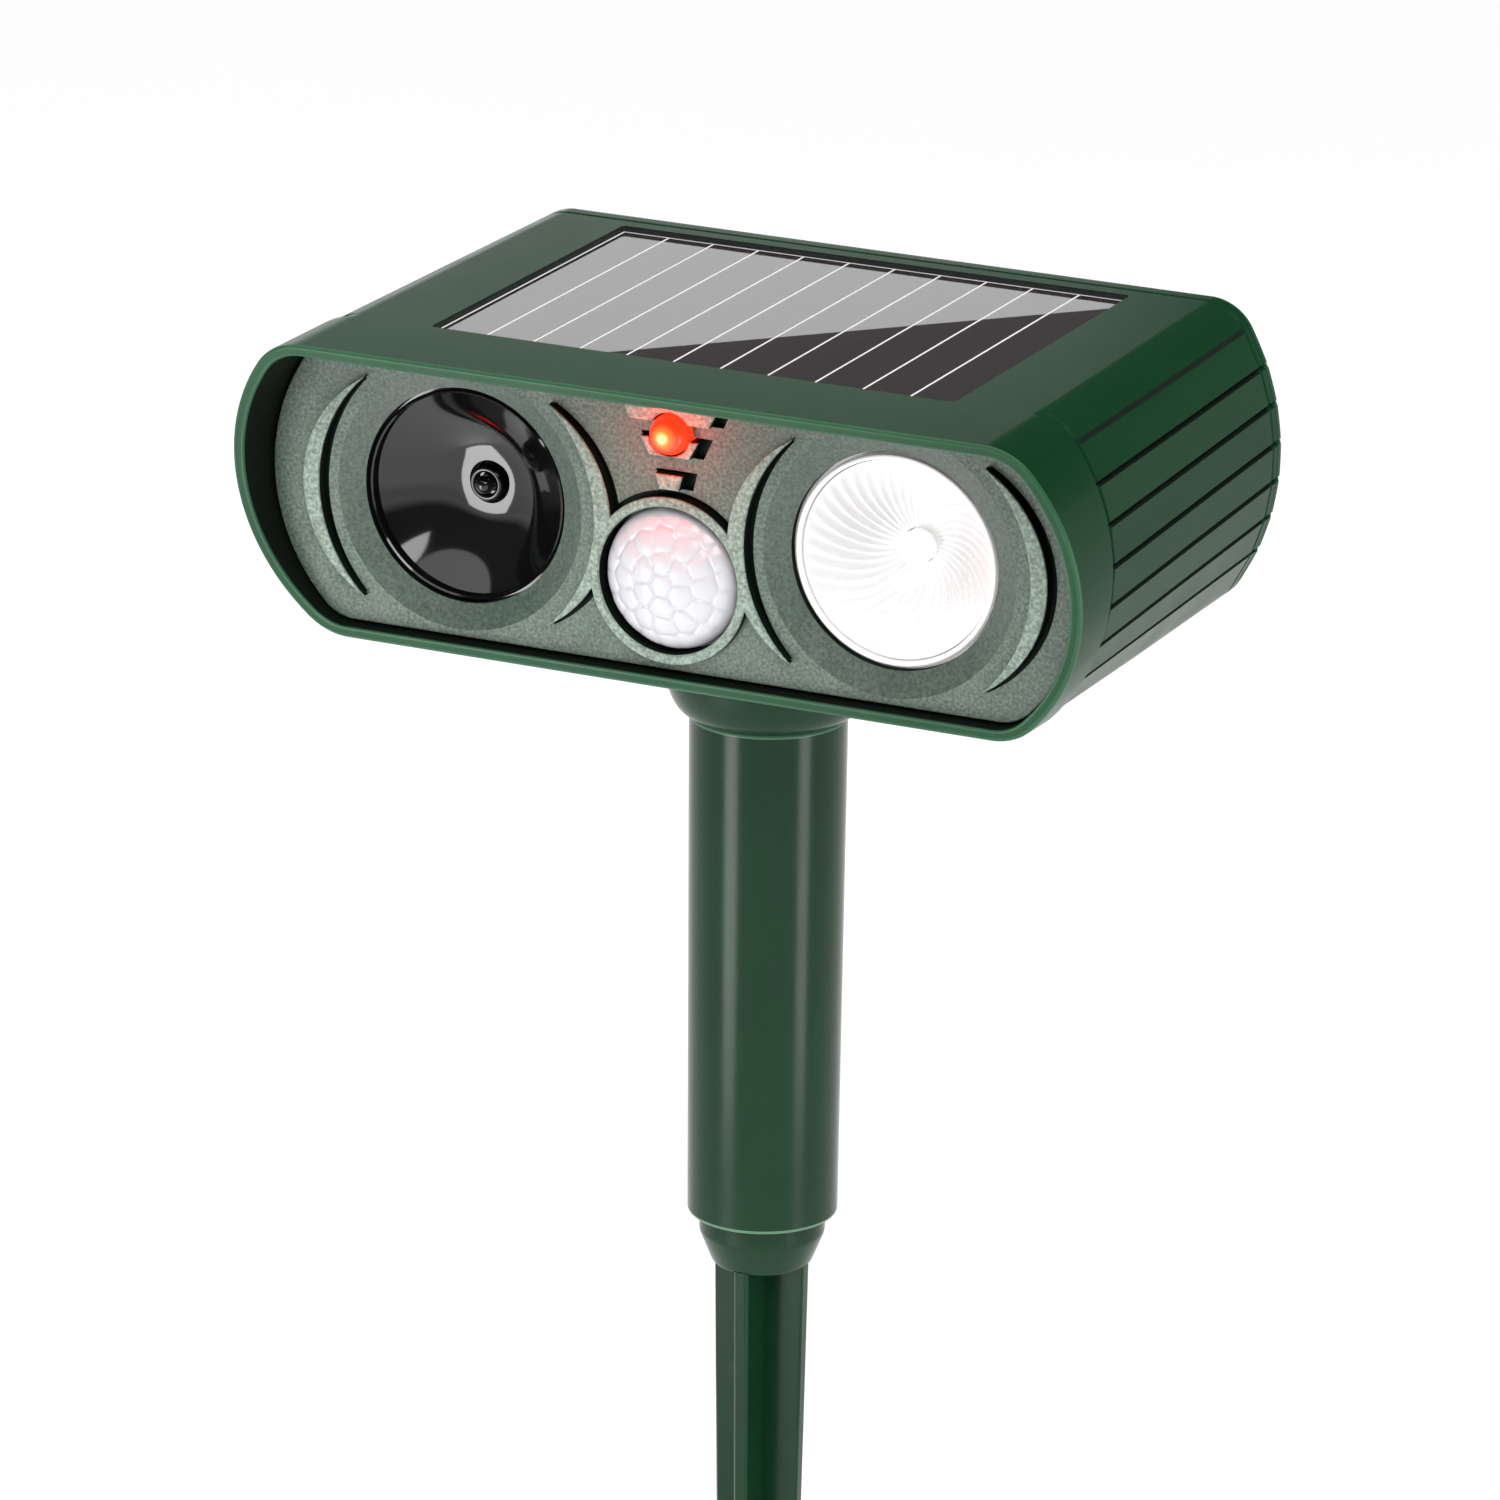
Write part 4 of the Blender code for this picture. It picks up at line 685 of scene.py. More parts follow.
def make_face_panel():
    back = FACE_DEPTH + PANEL_THICKNESS
    edge = HOOD_WALL + 0.4 * MM
    proud = FACE_DEPTH - RELIEF
    sunk = FACE_DEPTH + 0.5 * MM
    soft = 0.3 * MM
    slots = (FACE, FACE_SHADE, FACE_PAINTED_LIGHT, CONE_SHADE)
    bm = bmesh.new()
    rings = [
        ring_at(FACE_DEPTH, inset=edge + 0.4 * MM),
        ring_at(FACE_DEPTH + 0.12 * MM, inset=edge + 0.12 * MM),
        ring_at(FACE_DEPTH + 0.4 * MM, inset=edge),
        ring_at(back, inset=edge),
    ]
    # The panel's edge behind the rim and its back take the painted shade.
    add_loft(bm, rings, shades=[0, 0, 1, 0, 1])
    panel = new_object("face_moulding", bm, slots, HEAD)
    sides = [(eye_x, side) for eye_x in (-EYE_X, EYE_X) for side in (-1.0, 1.0)]

    def grooves(bm):
        for eye_x, side in sides:
            add_slot(bm, crescent_groove(eye_x, side), MM)

    def ring_groove(bm):
        middle = (0.0, SENSOR_Z)
        start = math.radians(28)
        end = math.radians(146)
        outline = arc(middle, SENSOR_RING_RADIUS - 0.1 * MM, start, end, 40)
        outline += arc(middle, SENSOR_RING_RADIUS + 0.8 * MM, end, start, 40)
        add_slot(bm, outline, 1.1 * MM)

    def block_slots(bm):
        for low, high, half_low, half_high in FUNNEL_BLOCKS:
            line = 0.45 * MM
            outline = [
                (half_high + SLOT_WIDTH, high + line),
                (half_low + SLOT_WIDTH, low),
                (-half_low - line, low),
                (-half_high - line, high + line),
            ]
            add_slot(bm, outline, 1.4 * MM)

    def add_soft(bm, outline_at, foot):
        """A raised piece with a rounded front edge, from its outline at each inset: painted light on its
        top and rounded edge, painted shade on its side walls.
        """
        outlines = [outline_at(inset) for inset in (0, 0, soft * 0.3, soft)]
        add_raised(bm, outlines, [foot, proud + soft, proud + soft * 0.3, proud], [1, 2, 2, 1, 2])

    def crescents(direction):
        def build(bm):
            for eye_x in (-EYE_X, EYE_X):
                side = direction * math.copysign(1.0, eye_x)
                add_soft(bm, lambda inset: crescent(eye_x, side, inset), sunk)

        return build

    def blocks(bm):
        for low, high, half_low, half_high in FUNNEL_BLOCKS:

            def outline_at(inset):
                return [
                    (half_high - inset * 1.5, high - inset),
                    (half_low - inset, low + inset),
                    (-half_low + inset, low + inset),
                    (-half_high + inset * 1.5, high - inset),
                ]

            add_soft(bm, outline_at, FACE_DEPTH + 1.7 * MM)

    def sensor_ring(bm):
        radius = SENSOR_RING_RADIUS
        profile = [(0.0, -proud), (radius - soft, -proud), (radius - soft * 0.3, -proud - soft * 0.3)]
        profile += [(radius, -proud - soft), (radius, -sunk), (0.0, -sunk)]
        centre = Matrix.Translation((0.0, 0.0, SENSOR_Z)) @ FRONT
        # Painted light on the ring's top and rounded edge, painted shade on its side.
        add_lathe(bm, profile, centre, shades=[2, 2, 2, 1, 1])

    def eyes(bm):
        lead = 0.2 * MM
        slope = (BEZEL_RADIUS - EYE_RADIUS) / BEZEL_DEPTH
        for x in (-EYE_X, EYE_X):
            centre = Matrix.Translation((x, 0.0, EYE_Z)) @ FRONT
            profile = [
                (0.0, -(FACE_DEPTH - lead)),
                (BEZEL_RADIUS + lead * slope, -(FACE_DEPTH - lead)),
                (EYE_RADIUS, -(FACE_DEPTH + BEZEL_DEPTH)),
                (EYE_RADIUS, -back - MM),
                (0.0, -back - MM),
            ]
            # The bezel cone takes its painted shade, and the hole's wall painted shade.
            add_lathe(bm, profile, centre, segments=128, shades=[3, 3, 1, 1])

    def small_holes(bm):
        for z, radius in ((SENSOR_Z, SENSOR_HOLE_RADIUS), (LED_Z, LED_RADIUS + GAP)):
            centre = Matrix.Translation((0.0, 0.0, z)) @ FRONT
            front = -(proud - 0.2 * MM)
            profile = [(0.0, front), (radius + 0.45 * MM, front), (radius, -proud - 0.25 * MM)]
            profile += [(radius, -back - MM), (0.0, -back - MM)]
            # Painted light on the countersinks, painted shade on the hole walls.
            add_lathe(bm, profile, centre, segments=100, shades=[2, 2, 4, 4])

    # The slots' walls and floors take the painted shade: shadow lines beside the crescents, the sensor
    # ring and the blocks.
    for cutter in (grooves, ring_groove, block_slots):
        combine(panel, cutter, materials=slots)
    for raised in (crescents(1.0), crescents(-1.0), sensor_ring, blocks):
        combine(panel, raised, "UNION", slots)
    combine(panel, eyes, materials=slots)
    combine(panel, small_holes, materials=(*slots, HOOD_INSIDE_SHADE))
    settle(panel, "head", "face", "face_panel", angle=24)


def make_rear_cover():
    start = SHELL_END + GAP
    radius = 0.9 * MM
    steps = 4
    slots = (GREEN, GREEN_RIM_PAINTED_LIGHT, FACE_SHADE)
    rings = [
        ring_at(start, grip=1.0, inset=0.3 * MM),
        ring_at(start + 0.3 * MM, grip=1.0),
    ]
    for i in range(steps + 1):
        angle = math.pi / 2 * i / steps
        depth = HEAD_DEPTH - radius + radius * math.sin(angle)
        rings.append(ring_at(depth, inset=radius * (1 - math.cos(angle)), grip=1.0 - i / steps))
    bm = bmesh.new()
    # The rounded rear edge takes the painted light.
    add_loft(bm, rings, shades=[0, 0] + [1] * steps + [0, 0])
    cover = new_object("back_cover", bm, slots, HEAD)

    def pocket(bm):
        levels = ((HEAD_DEPTH - POCKET_DEPTH, 0.0), (HEAD_DEPTH + MM, -0.5 * MM))
        add_plate(bm, (0.0, CONTROL_Z), POCKET_HALF, 3.0 * MM, levels)

    def wells(bm):
        for name in REAR_SCREWS:
            low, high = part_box(name)
            centre = Matrix.Translation(((low.x + high.x) / 2, 0.0, (low.z + high.z) / 2))
            mouth = RIM_Y + HEAD_DEPTH
            profile = [(0.0, mouth + MM), (SCREW_HEAD + 0.75 * MM, mouth + MM)]
            profile += [(SCREW_HEAD + 0.75 * MM, mouth), (SCREW_HEAD + 0.3 * MM, mouth - 0.5 * MM)]
            profile += [(SCREW_HEAD + 0.3 * MM, mouth - 2.0 * MM), (0.0, mouth - 2.0 * MM)]
            # Painted light on each well's chamfer, painted shade on its wall and floor.
            add_lathe(bm, profile, centre @ BACK, segments=48, shades=[0, 1, 1, 2, 2])

    def holes(bm):
        floor = HEAD_DEPTH - POCKET_DEPTH
        for x, radius in ((KNOB_X, 3.4 * MM), (0.0, BUTTON_RADIUS + 0.35 * MM)):
            profile = [(0.0, floor + MM), (radius, floor + MM), (radius, start - MM), (0.0, start - MM)]
            place = Matrix.Translation((x, 0.0, CONTROL_Z)) @ BACK
            add_lathe(bm, profile, place, segments=64)
        add_plate(bm, (FLAP_X, PORT_Z), PORT_HALF, MM, ((start - MM, 0.0), (floor + MM, 0.0)))

    combine(cover, pocket, materials=(GREEN,))
    combine(cover, wells, materials=slots, matrix=HERE)
    # The holes' walls take the painted shade.
    combine(cover, holes)
    settle(cover, "head", "housing", "rear_cover", angle=28)
    make_dial_marks()


def make_dial_marks():
    """Short raised strokes round the knob, one for each of its settings."""
    floor = HEAD_DEPTH - POCKET_DEPTH
    bm = bmesh.new()
    for i in range(DIAL_MARKS):
        angle = math.radians(-DIAL_TURN + 2 * DIAL_TURN * i / (DIAL_MARKS - 1))
        stroke = Matrix.Rotation(angle, 4, "Y")
        low = Vector((-0.35 * MM, -0.05 * MM, KNOB_RADIUS + 0.9 * MM))
        high = Vector((0.35 * MM, 0.12 * MM, KNOB_RADIUS + 2.6 * MM))
        made = add_box(bm, low, high)
        place = Matrix.Translation((KNOB_X, floor, CONTROL_Z)) @ stroke
        bmesh.ops.transform(bm, matrix=place, verts=made["verts"])
    marks = new_object("dial_marks", bm, (MARK,), HEAD)
    bevel(marks, 0.05 * MM, 1)
    settle(marks, "head", "housing")


# ---------------------------------------------------------------- eyes and sensor


def make_speaker():
    """The glossy horn with its collar, and the ring and ball in its middle."""
    centre = facing(-EYE_X, EYE_Z)
    rim = 16.9 * MM
    throat = 3.6 * MM
    dish_start = EYE_FRONT - 2.2 * MM
    dish_end = -18.9 * MM
    steps = 40
    dish = []
    for i in range(steps + 1):
        share = i / steps
        sag = math.sin(math.pi / 2 * share)
        dish.append((rim + (throat - rim) * share, dish_start + (dish_end - dish_start) * sag))
    back = [
        (rim + 0.25 * MM, EYE_FRONT),
        (rim + 0.6 * MM, EYE_FRONT - 0.3 * MM),
        (rim + 0.6 * MM, FLANGE),
        (FLANGE_RADIUS, FLANGE),
        (FLANGE_RADIUS, FLANGE - 1.4 * MM),
        (17.6 * MM, FLANGE - 1.4 * MM),
        (11.0 * MM, dish_end - 1.4 * MM),
        (throat, dish_end - 1.4 * MM),
    ]
    profile = [*back, *reversed(dish), (rim, EYE_FRONT - 0.25 * MM)]
    gloss = ((BLACK_GLOSS,), "head", "black_gloss")
    turned("horn", profile, *gloss, "speaker_horn", matrix=centre, ring=True)
    base = dish_end - 3.0 * MM
    collar = [(0.0, base), (2.9 * MM, base), (2.9 * MM, dish_end + 1.1 * MM)]
    collar += arc((2.4 * MM, dish_end + 1.1 * MM), 0.5 * MM, 0.0, math.pi, 8)
    collar += [(1.9 * MM, dish_end + 0.2 * MM), (1.2 * MM, dish_end + 0.1 * MM)]
    ball = dish_end + 1.75 * MM
    collar += arc((0.0, ball), 1.55 * MM, math.radians(-40), math.pi / 2, 14)[:-1]
    collar += [(0.0, ball + 1.55 * MM)]
    turned("horn_plug", collar, *gloss, "phase_plug", matrix=centre)


def add_radial(bm, matrix, radii, segments, front, back):
    """A dish or cap whose front and back heights are functions of radius and angle."""
    rows = []
    for height, order in ((front, radii), (back, radii[::-1])):
        for radius in order:
            if radius < 1e-7:
                rows.append([bm.verts.new(matrix @ Vector((0.0, 0.0, height(0.0, 0.0))))])
                continue
            row = []
            for i in range(segments):
                angle = 2 * math.pi * i / segments
                flat = polar(radius, angle)
                row.append(bm.verts.new(matrix @ Vector((*flat, height(radius, angle)))))
            rows.append(row)
    for row, other in zip(rows, rows[1:]):
        join_rows(bm, row, other)
    if len(rows[0]) > 1:
        join_rows(bm, rows[-1], rows[0])


def make_strobe():
    """The white reflector with its swirled flutes, its bright rim, and the emitter."""
    centre = facing(EYE_X, EYE_Z)
    floor = -19.8 * MM
    rim = 16.3 * MM
    throat = 2.95 * MM
    flutes = 38

    def bowl(radius):
        share = (radius**2 - throat**2) / (rim**2 - throat**2)
        return floor + (EYE_FRONT - 0.8 * MM - floor) * share

    def fluted(radius, angle):
        share = (radius - throat) / (rim - throat)
        swirl = 0.55 * share**1.5
        depth = 0.85 * MM * min(1.0, share * 2.2) * min(1.0, (1.0 - share) * 14.0)
        wave = abs(math.sin(flutes / 2 * (angle + swirl)))
        return bowl(radius) + depth * (0.62 - wave)

    steps = 36
    radii = [throat + (rim - throat) * i / steps for i in range(steps + 1)]
    bm = bmesh.new()
    add_radial(bm, centre, radii, flutes * 8, fluted, lambda r, a: bowl(r) - 1.3 * MM)
    bowl_piece = new_object("flash_reflector", bm, (REFLECTOR,))
    settle(bowl_piece, "head", "reflector", "strobe_reflector", angle=40)
    lip = EYE_FRONT - 0.8 * MM
    profile = arc((16.9 * MM, EYE_FRONT - 0.45 * MM), 0.45 * MM, 0.0, math.pi, 10)
    profile += [(rim + 0.12 * MM, lip - 0.6 * MM), (rim + 0.12 * MM, FLANGE - 0.2 * MM)]
    profile += [(FLANGE_RADIUS, FLANGE - 0.2 * MM), (FLANGE_RADIUS, FLANGE)]
    profile += [(17.5 * MM, FLANGE), (17.5 * MM, EYE_FRONT - 0.6 * MM)]
    turned("reflector_rim", profile, (REFLECTOR,), "head", "reflector", matrix=centre, ring=True)

    base = floor - 1.7 * MM
    led = [(0.0, base), (2.8 * MM, base), (2.8 * MM, base + 3.2 * MM)]
    led += arc((0.0, base + 3.2 * MM), 2.8 * MM, math.radians(8), math.pi / 2, 14)[:-1]
    led += [(0.0, base + 6.0 * MM)]
    turned("flash_emitter", led, (STROBE,), "head", "white_lens", "strobe_led", matrix=centre)


def facet_centres(radius):
    """Middles of the lens's facets: one, then rings of six, twelve and eighteen."""
    centres = [Vector((0.0, 0.0))]
    for ring, count in ((1, 6), (2, 12), (3, 18)):
        for i in range(count):
            wobble = 0.10 * math.sin(2.7 * i + ring)
            angle = 2 * math.pi * (i + 0.5 * ring + wobble) / count
            reach = radius * (ring * 0.305 + 0.02 * math.cos(3.1 * i + ring))
            centres.append(Vector(polar(reach, angle)))
    return centres


def make_dome():
    """The sensor's lens: a shallow cap of small lenslets, each a little proud of its joints."""
    centre = facing(0.0, SENSOR_Z)
    base = -(FACE_DEPTH + 1.2 * MM)
    radius = 11.8 * MM
    rise = 5.4 * MM
    centres = facet_centres(radius)

    def cap(distance):
        return base + rise * max(0.0, 1 - (distance / radius) ** 2.15) ** 0.62

    def faceted(distance, angle):
        here = Vector(polar(distance, angle))
        near = sorted((here - middle).length for middle in centres)
        seam = near[1] - near[0]
        groove = math.exp(-((seam / (0.38 * MM)) ** 2))
        lens = (near[0] / (1.9 * MM)) ** 2
        fade = min(1.0, (radius - distance) / (0.8 * MM))
        return cap(distance) - fade * (0.20 * MM * groove + 0.22 * MM * lens)

    steps = 64
    radii = [radius * i / steps for i in range(steps + 1)]
    bm = bmesh.new()
    add_radial(bm, centre, radii, 160, faceted, lambda r, a: cap(r) - 0.8 * MM)
    settle(new_object("sensor_lens", bm, (DOME,)), "head", "white_lens", "pir_dome", angle=50)
    profile = [(radius - 0.05 * MM, base - 0.9 * MM), (radius + 0.05 * MM, base - 0.9 * MM)]
    profile += [(radius + 0.05 * MM, FLANGE), (13.2 * MM, FLANGE), (13.2 * MM, FLANGE - MM)]
    profile += [(radius - 0.8 * MM, FLANGE - MM), (radius - 0.8 * MM, base - 1.3 * MM)]
    turned("sensor_lens_skirt", profile, (DOME,), "head", "white_lens", matrix=centre, ring=True)


def make_indicator():
    """The red lamp, and a small light in front of it for its glow on the panel."""
    base = -(FACE_DEPTH + 0.4 * MM)
    tip = in_head(0.0, -base - 1.2 * MM - LED_RADIUS, LED_Z)
    core = (tip, 3.0 * MM, (1.0, 0.50, 0.16))
    lens = glowing("indicator_red", (0.8, 0.03, 0.01), 0.2, (1.0, 0.020, 0.004), 2.4, core)
    led = [(0.0, FLANGE - 5.0 * MM), (3.9 * MM, FLANGE - 5.0 * MM), (3.9 * MM, FLANGE)]
    led += [(LED_RADIUS, FLANGE)]
    led += arc((0.0, base + 1.2 * MM), LED_RADIUS, 0.0, math.pi / 2, 18)[:-1]
    led += [(0.0, base + 1.2 * MM + LED_RADIUS)]
    place = facing(0.0, LED_Z)
    indicator = turned("indicator", led, (lens,), "head", "red_lens", "status_led", matrix=place)
    light = bpy.data.lights.new("indicator_glow", "POINT")
    light.color = (1.0, 0.03, 0.01)
    light.energy = 0.009
    light.shadow_soft_size = 1.5 * MM
    glow = bpy.data.objects.new("indicator_glow", light)
    glow.location = in_head(0.0, 2.2 * MM, LED_Z)
    glow.parent = indicator
    glow.visible_camera = False
    bpy.context.scene.collection.objects.link(glow)


# ---------------------------------------------------------------- solar panel


def make_solar():
    """Eleven cell strips with light lines between them and a light border, under a clear sheet."""
    low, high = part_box("solar_panel")
    count = 11
    border = 0.45 * MM
    line = 0.34 * MM
    bm = bmesh.new()
    add_box(bm, low, (high.x, high.y, high.z - 0.03 * MM))
    backing = new_object("solar_board", bm, (GRID,))
    bevel(backing, 0.1 * MM, 1)
    settle(backing, "head", "solar_cells", "solar_panel")
    width = (high.x - low.x - 2 * border + line) / count
    for i in range(count):
        start = low.x + border + width * i
        bm = bmesh.new()
        add_box(
            bm,
            (start, low.y + border, high.z - 0.12 * MM),
            (start + width - line, high.y - border, high.z - 0.02 * MM),
        )
        strip = new_object(f"solar_cell_{i + 1}", bm, (CELL,))
        bevel(strip, 0.03 * MM, 1)
        settle(strip, "head", "solar_cells")
    low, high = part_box("solar_cover")
    bm = bmesh.new()
    middle = (low + high) / 2
    soft = 0.12 * MM
    rings = []
    for z, inset in ((low.z + 0.1 * MM, soft), (high.z - soft, 0.0), (high.z, soft)):
        half = ((high.x - low.x) / 2 - inset, (high.y - low.y) / 2 - inset)
        outline = rounded_box(*half, 0.7 * MM, 4)
        rings.append([(middle.x + x, middle.y + y, z) for x, y in outline])
    add_loft(bm, rings)
    settle(new_object("solar_glazing", bm, (CLEAR,)), "head", "clear_cover", "solar_cover")


# ---------------------------------------------------------------- neck, tube and spike


def make_neck():
    low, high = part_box("neck_socket")
    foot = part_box("pole_tube")[1].z + GAP
    top = high.z
    radius = high.x
    foot_radius = 13.3 * MM
    spigot = 10.5 * MM
    end = low.z
    steps = 20
    shoulder = top - 1.6 * MM
    profile = [(0.0, top), (radius - 0.3 * MM, top), (radius, top - 0.3 * MM), (radius, shoulder)]
    for i in range(1, steps + 1):
        angle = math.pi / 2 * i / steps
        reach = foot_radius + (radius - foot_radius) * math.cos(angle)
        profile.append((reach, shoulder - (shoulder - foot) * math.sin(angle)))
    seal_low, seal_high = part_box("neck_o_ring")
    profile += [
        (spigot, foot),
        (spigot, seal_high.z + 0.25 * MM),
        (spigot - 1.5 * MM, seal_high.z + 0.25 * MM),
        (spigot - 1.5 * MM, seal_low.z - 0.25 * MM),
        (spigot, seal_low.z - 0.25 * MM),
        (spigot, end + 0.8 * MM),
        (spigot - 0.8 * MM, end),
        (6.0 * MM, end),
        (6.0 * MM, foot - 2.0 * MM),
        (0.0, foot - 2.0 * MM),
    ]
    turned("neck", profile, (TUBE_GREEN,), "head", "tube", "neck_socket")
    middle = ((seal_high.x - 0.8 * MM), (seal_low.z + seal_high.z) / 2)
    ring = arc(middle, 0.8 * MM, math.pi / 2, -3 * math.pi / 2, 16)[:-1]
    turned("neck_seal", ring, (RUBBER,), "head", "rubber", "neck_o_ring", ring=True)


def make_tube():
    low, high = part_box("pole_tube")
    top_radius = high.x
    foot_radius = 12.5 * MM
    bore = 11.0 * MM
    stop_bore = 9.2 * MM
    stop_low = 47.0 * MM
    stop_high = 58.0 * MM
    roll = 0.7 * MM
    profile = arc((top_radius - roll, high.z - roll), roll, math.pi / 2, 0.0, 5)
    profile += arc((foot_radius - roll, low.z + roll), roll, 0.0, -math.pi / 2, 5)
    profile += [
        (bore + 0.3 * MM, low.z),
        (bore, low.z + 0.3 * MM),
        (bore, stop_low),
        (stop_bore, stop_low),
        (stop_bore, stop_high),
        (bore, stop_high),
        (bore, high.z - 0.3 * MM),
        (bore + 0.3 * MM, high.z),
    ]
    # The rolled edges take the painted highlight; the wall and bore stay plain green.
    shades = [1] * 5 + [0] + [1] * 5 + [0] * 9
    turned(
        "tube", profile, (TUBE_GREEN, TUBE_EDGE_HIGHLIGHT), "pole", "tube", "pole_tube", ring=True, shades=shades
    )


def make_spike():
    low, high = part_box("ground_spike")
    spigot = high.x
    waist = 8.3 * MM
    shoulder = -9.0 * MM
    profile = [
        (spigot - 0.8 * MM, high.z),
        (spigot, high.z - 0.8 * MM),
        (spigot, -3.0 * MM),
        (spigot - 0.15 * MM, -3.8 * MM),
        (waist + 0.2 * MM, shoulder + 0.6 * MM),
        (waist - 0.2 * MM, shoulder + 0.1 * MM),
        (waist - 0.8 * MM, shoulder),
        (0.0, shoulder),
        (0.0, 4.0 * MM),
        (6.0 * MM, 4.0 * MM),
        (6.5 * MM, 4.5 * MM),
        (6.5 * MM, high.z),
    ]
    bm = bmesh.new()
    add_lathe(bm, profile, ring=True)
    spike = new_object("spike", bm, (TUBE_GREEN,))
    length = -low.z

    def fins(bm):
        stations = [
            (shoulder + 0.5 * MM, waist - 0.1 * MM, 2.6 * MM),
            (-0.3 * length, 7.7 * MM, 2.5 * MM),
            (-0.6 * length, 7.0 * MM, 2.3 * MM),
            (-0.8 * length, 4.0 * MM, 2.0 * MM),
            (-length, 0.9 * MM, 1.5 * MM),
        ]
        rings = []
        for z, reach, thickness in stations:
            half = thickness / 2
            far = max(reach, half + 0.2 * MM)
            ring = []
            for quarter in range(4):
                turn = Matrix.Rotation(math.pi / 2 * quarter, 4, "Z")
                fin = [(far - 0.4 * MM, -half), (far, 0.4 * MM - half), (far, half - 0.4 * MM)]
                fin += [(far - 0.4 * MM, half), (half, half)]
                ring += [turn @ Vector((x, y, z)) for x, y in fin]
            rings.append(ring)
        add_loft(bm, rings)

    combine(spike, fins, "UNION", (TUBE_GREEN,), HERE)
    settle(spike, "spike", "tube", "ground_spike", angle=30)


# ---------------------------------------------------------------- controls on the back


def make_knob():
    """A pointer knob with a scalloped grip and a white line."""
    base = in_head(KNOB_X, HEAD_DEPTH - POCKET_DEPTH + GAP, CONTROL_Z)
    place = Matrix.Translation(base) @ BACK
    height = KNOB_HIGH.y - base.y
    scallops = 20
    segments = scallops * 8
    levels = [
        (KNOB_RADIUS - 0.3 * MM, 0.0, 0.0),
        (KNOB_RADIUS, 0.3 * MM, 0.0),
        (KNOB_RADIUS, 1.1 * MM, 0.0),
        (KNOB_RADIUS - 0.3 * MM, 1.4 * MM, 0.0),
        (KNOB_RADIUS - 0.5 * MM, 1.6 * MM, 1.0),
        (KNOB_RADIUS - 0.8 * MM, height - 0.9 * MM, 1.0),
        (KNOB_RADIUS - 1.0 * MM, height - 0.4 * MM, 0.7),
        (KNOB_RADIUS - 1.5 * MM, height - 0.05 * MM, 0.2),
        (KNOB_RADIUS - 1.9 * MM, height, 0.0),
        (KNOB_RADIUS - 2.6 * MM, height - 0.35 * MM, 0.0),
    ]
    rows = []
    bm = bmesh.new()
    for radius, z, share in levels:
        row = []
        for i in range(segments):
            angle = 2 * math.pi * i / segments
            wave = abs(math.sin(scallops / 2 * angle))
            reach = radius - share * 0.45 * MM * (1 - wave)
            row.append(bm.verts.new((*polar(reach, angle), z)))
        rows.append(row)
    for row, other in zip(rows, rows[1:]):
        join_rows(bm, row, other)
    bm.faces.new(rows[-1])
    angles = [2 * math.pi * i / segments for i in range(segments)]
    shaft = [bm.verts.new((*polar(3.0 * MM, angle), 0.0)) for angle in angles]
    end = [bm.verts.new((v.co.x, v.co.y, KNOB_LOW.y - base.y)) for v in shaft]
    join_rows(bm, rows[0], shaft)
    join_rows(bm, shaft, end)
    bm.faces.new(end)
    knob = new_object("selector_knob", bm, (BLACK,), place)
    settle(knob, "knob", "black_plastic", "mode_knob", angle=38)
    bm = bmesh.new()
    add_box(
        bm,
        (-0.45 * MM, 0.7 * MM - KNOB_RADIUS + 1.6 * MM, height - 0.5 * MM),
        (0.45 * MM, -1.2 * MM, height - 0.15 * MM),
    )
    line = new_object("selector_line", bm, (MARK,), place)
    bevel(line, 0.1 * MM)
    settle(line, "knob", "black_plastic")


def make_button():
    """A soft button with a dished top inside a raised ring."""
    place = Matrix.Translation(in_head(0.0, HEAD_DEPTH - POCKET_DEPTH, CONTROL_Z)) @ BACK
    radius = BUTTON_RADIUS
    profile = [(0.0, 2.1 * MM), (1.4 * MM, 2.15 * MM), (2.3 * MM, 2.35 * MM)]
    profile += arc((2.9 * MM, 2.1 * MM), 0.45 * MM, math.radians(110), math.radians(20), 5)
    profile += arc((radius - MM, 0.9 * MM), MM, math.radians(50), 0.0, 5)
    profile += [
        (radius, -2.5 * MM),
        (radius + 0.9 * MM, -2.5 * MM),
        (radius + 0.9 * MM, -3.4 * MM),
        (1.5 * MM, -3.4 * MM),
        (1.5 * MM, -5.3 * MM),
        (0.0, -5.3 * MM),
    ]
    turned("switch_button", profile, (RUBBER,), "button", "rubber", "power_button", matrix=place)


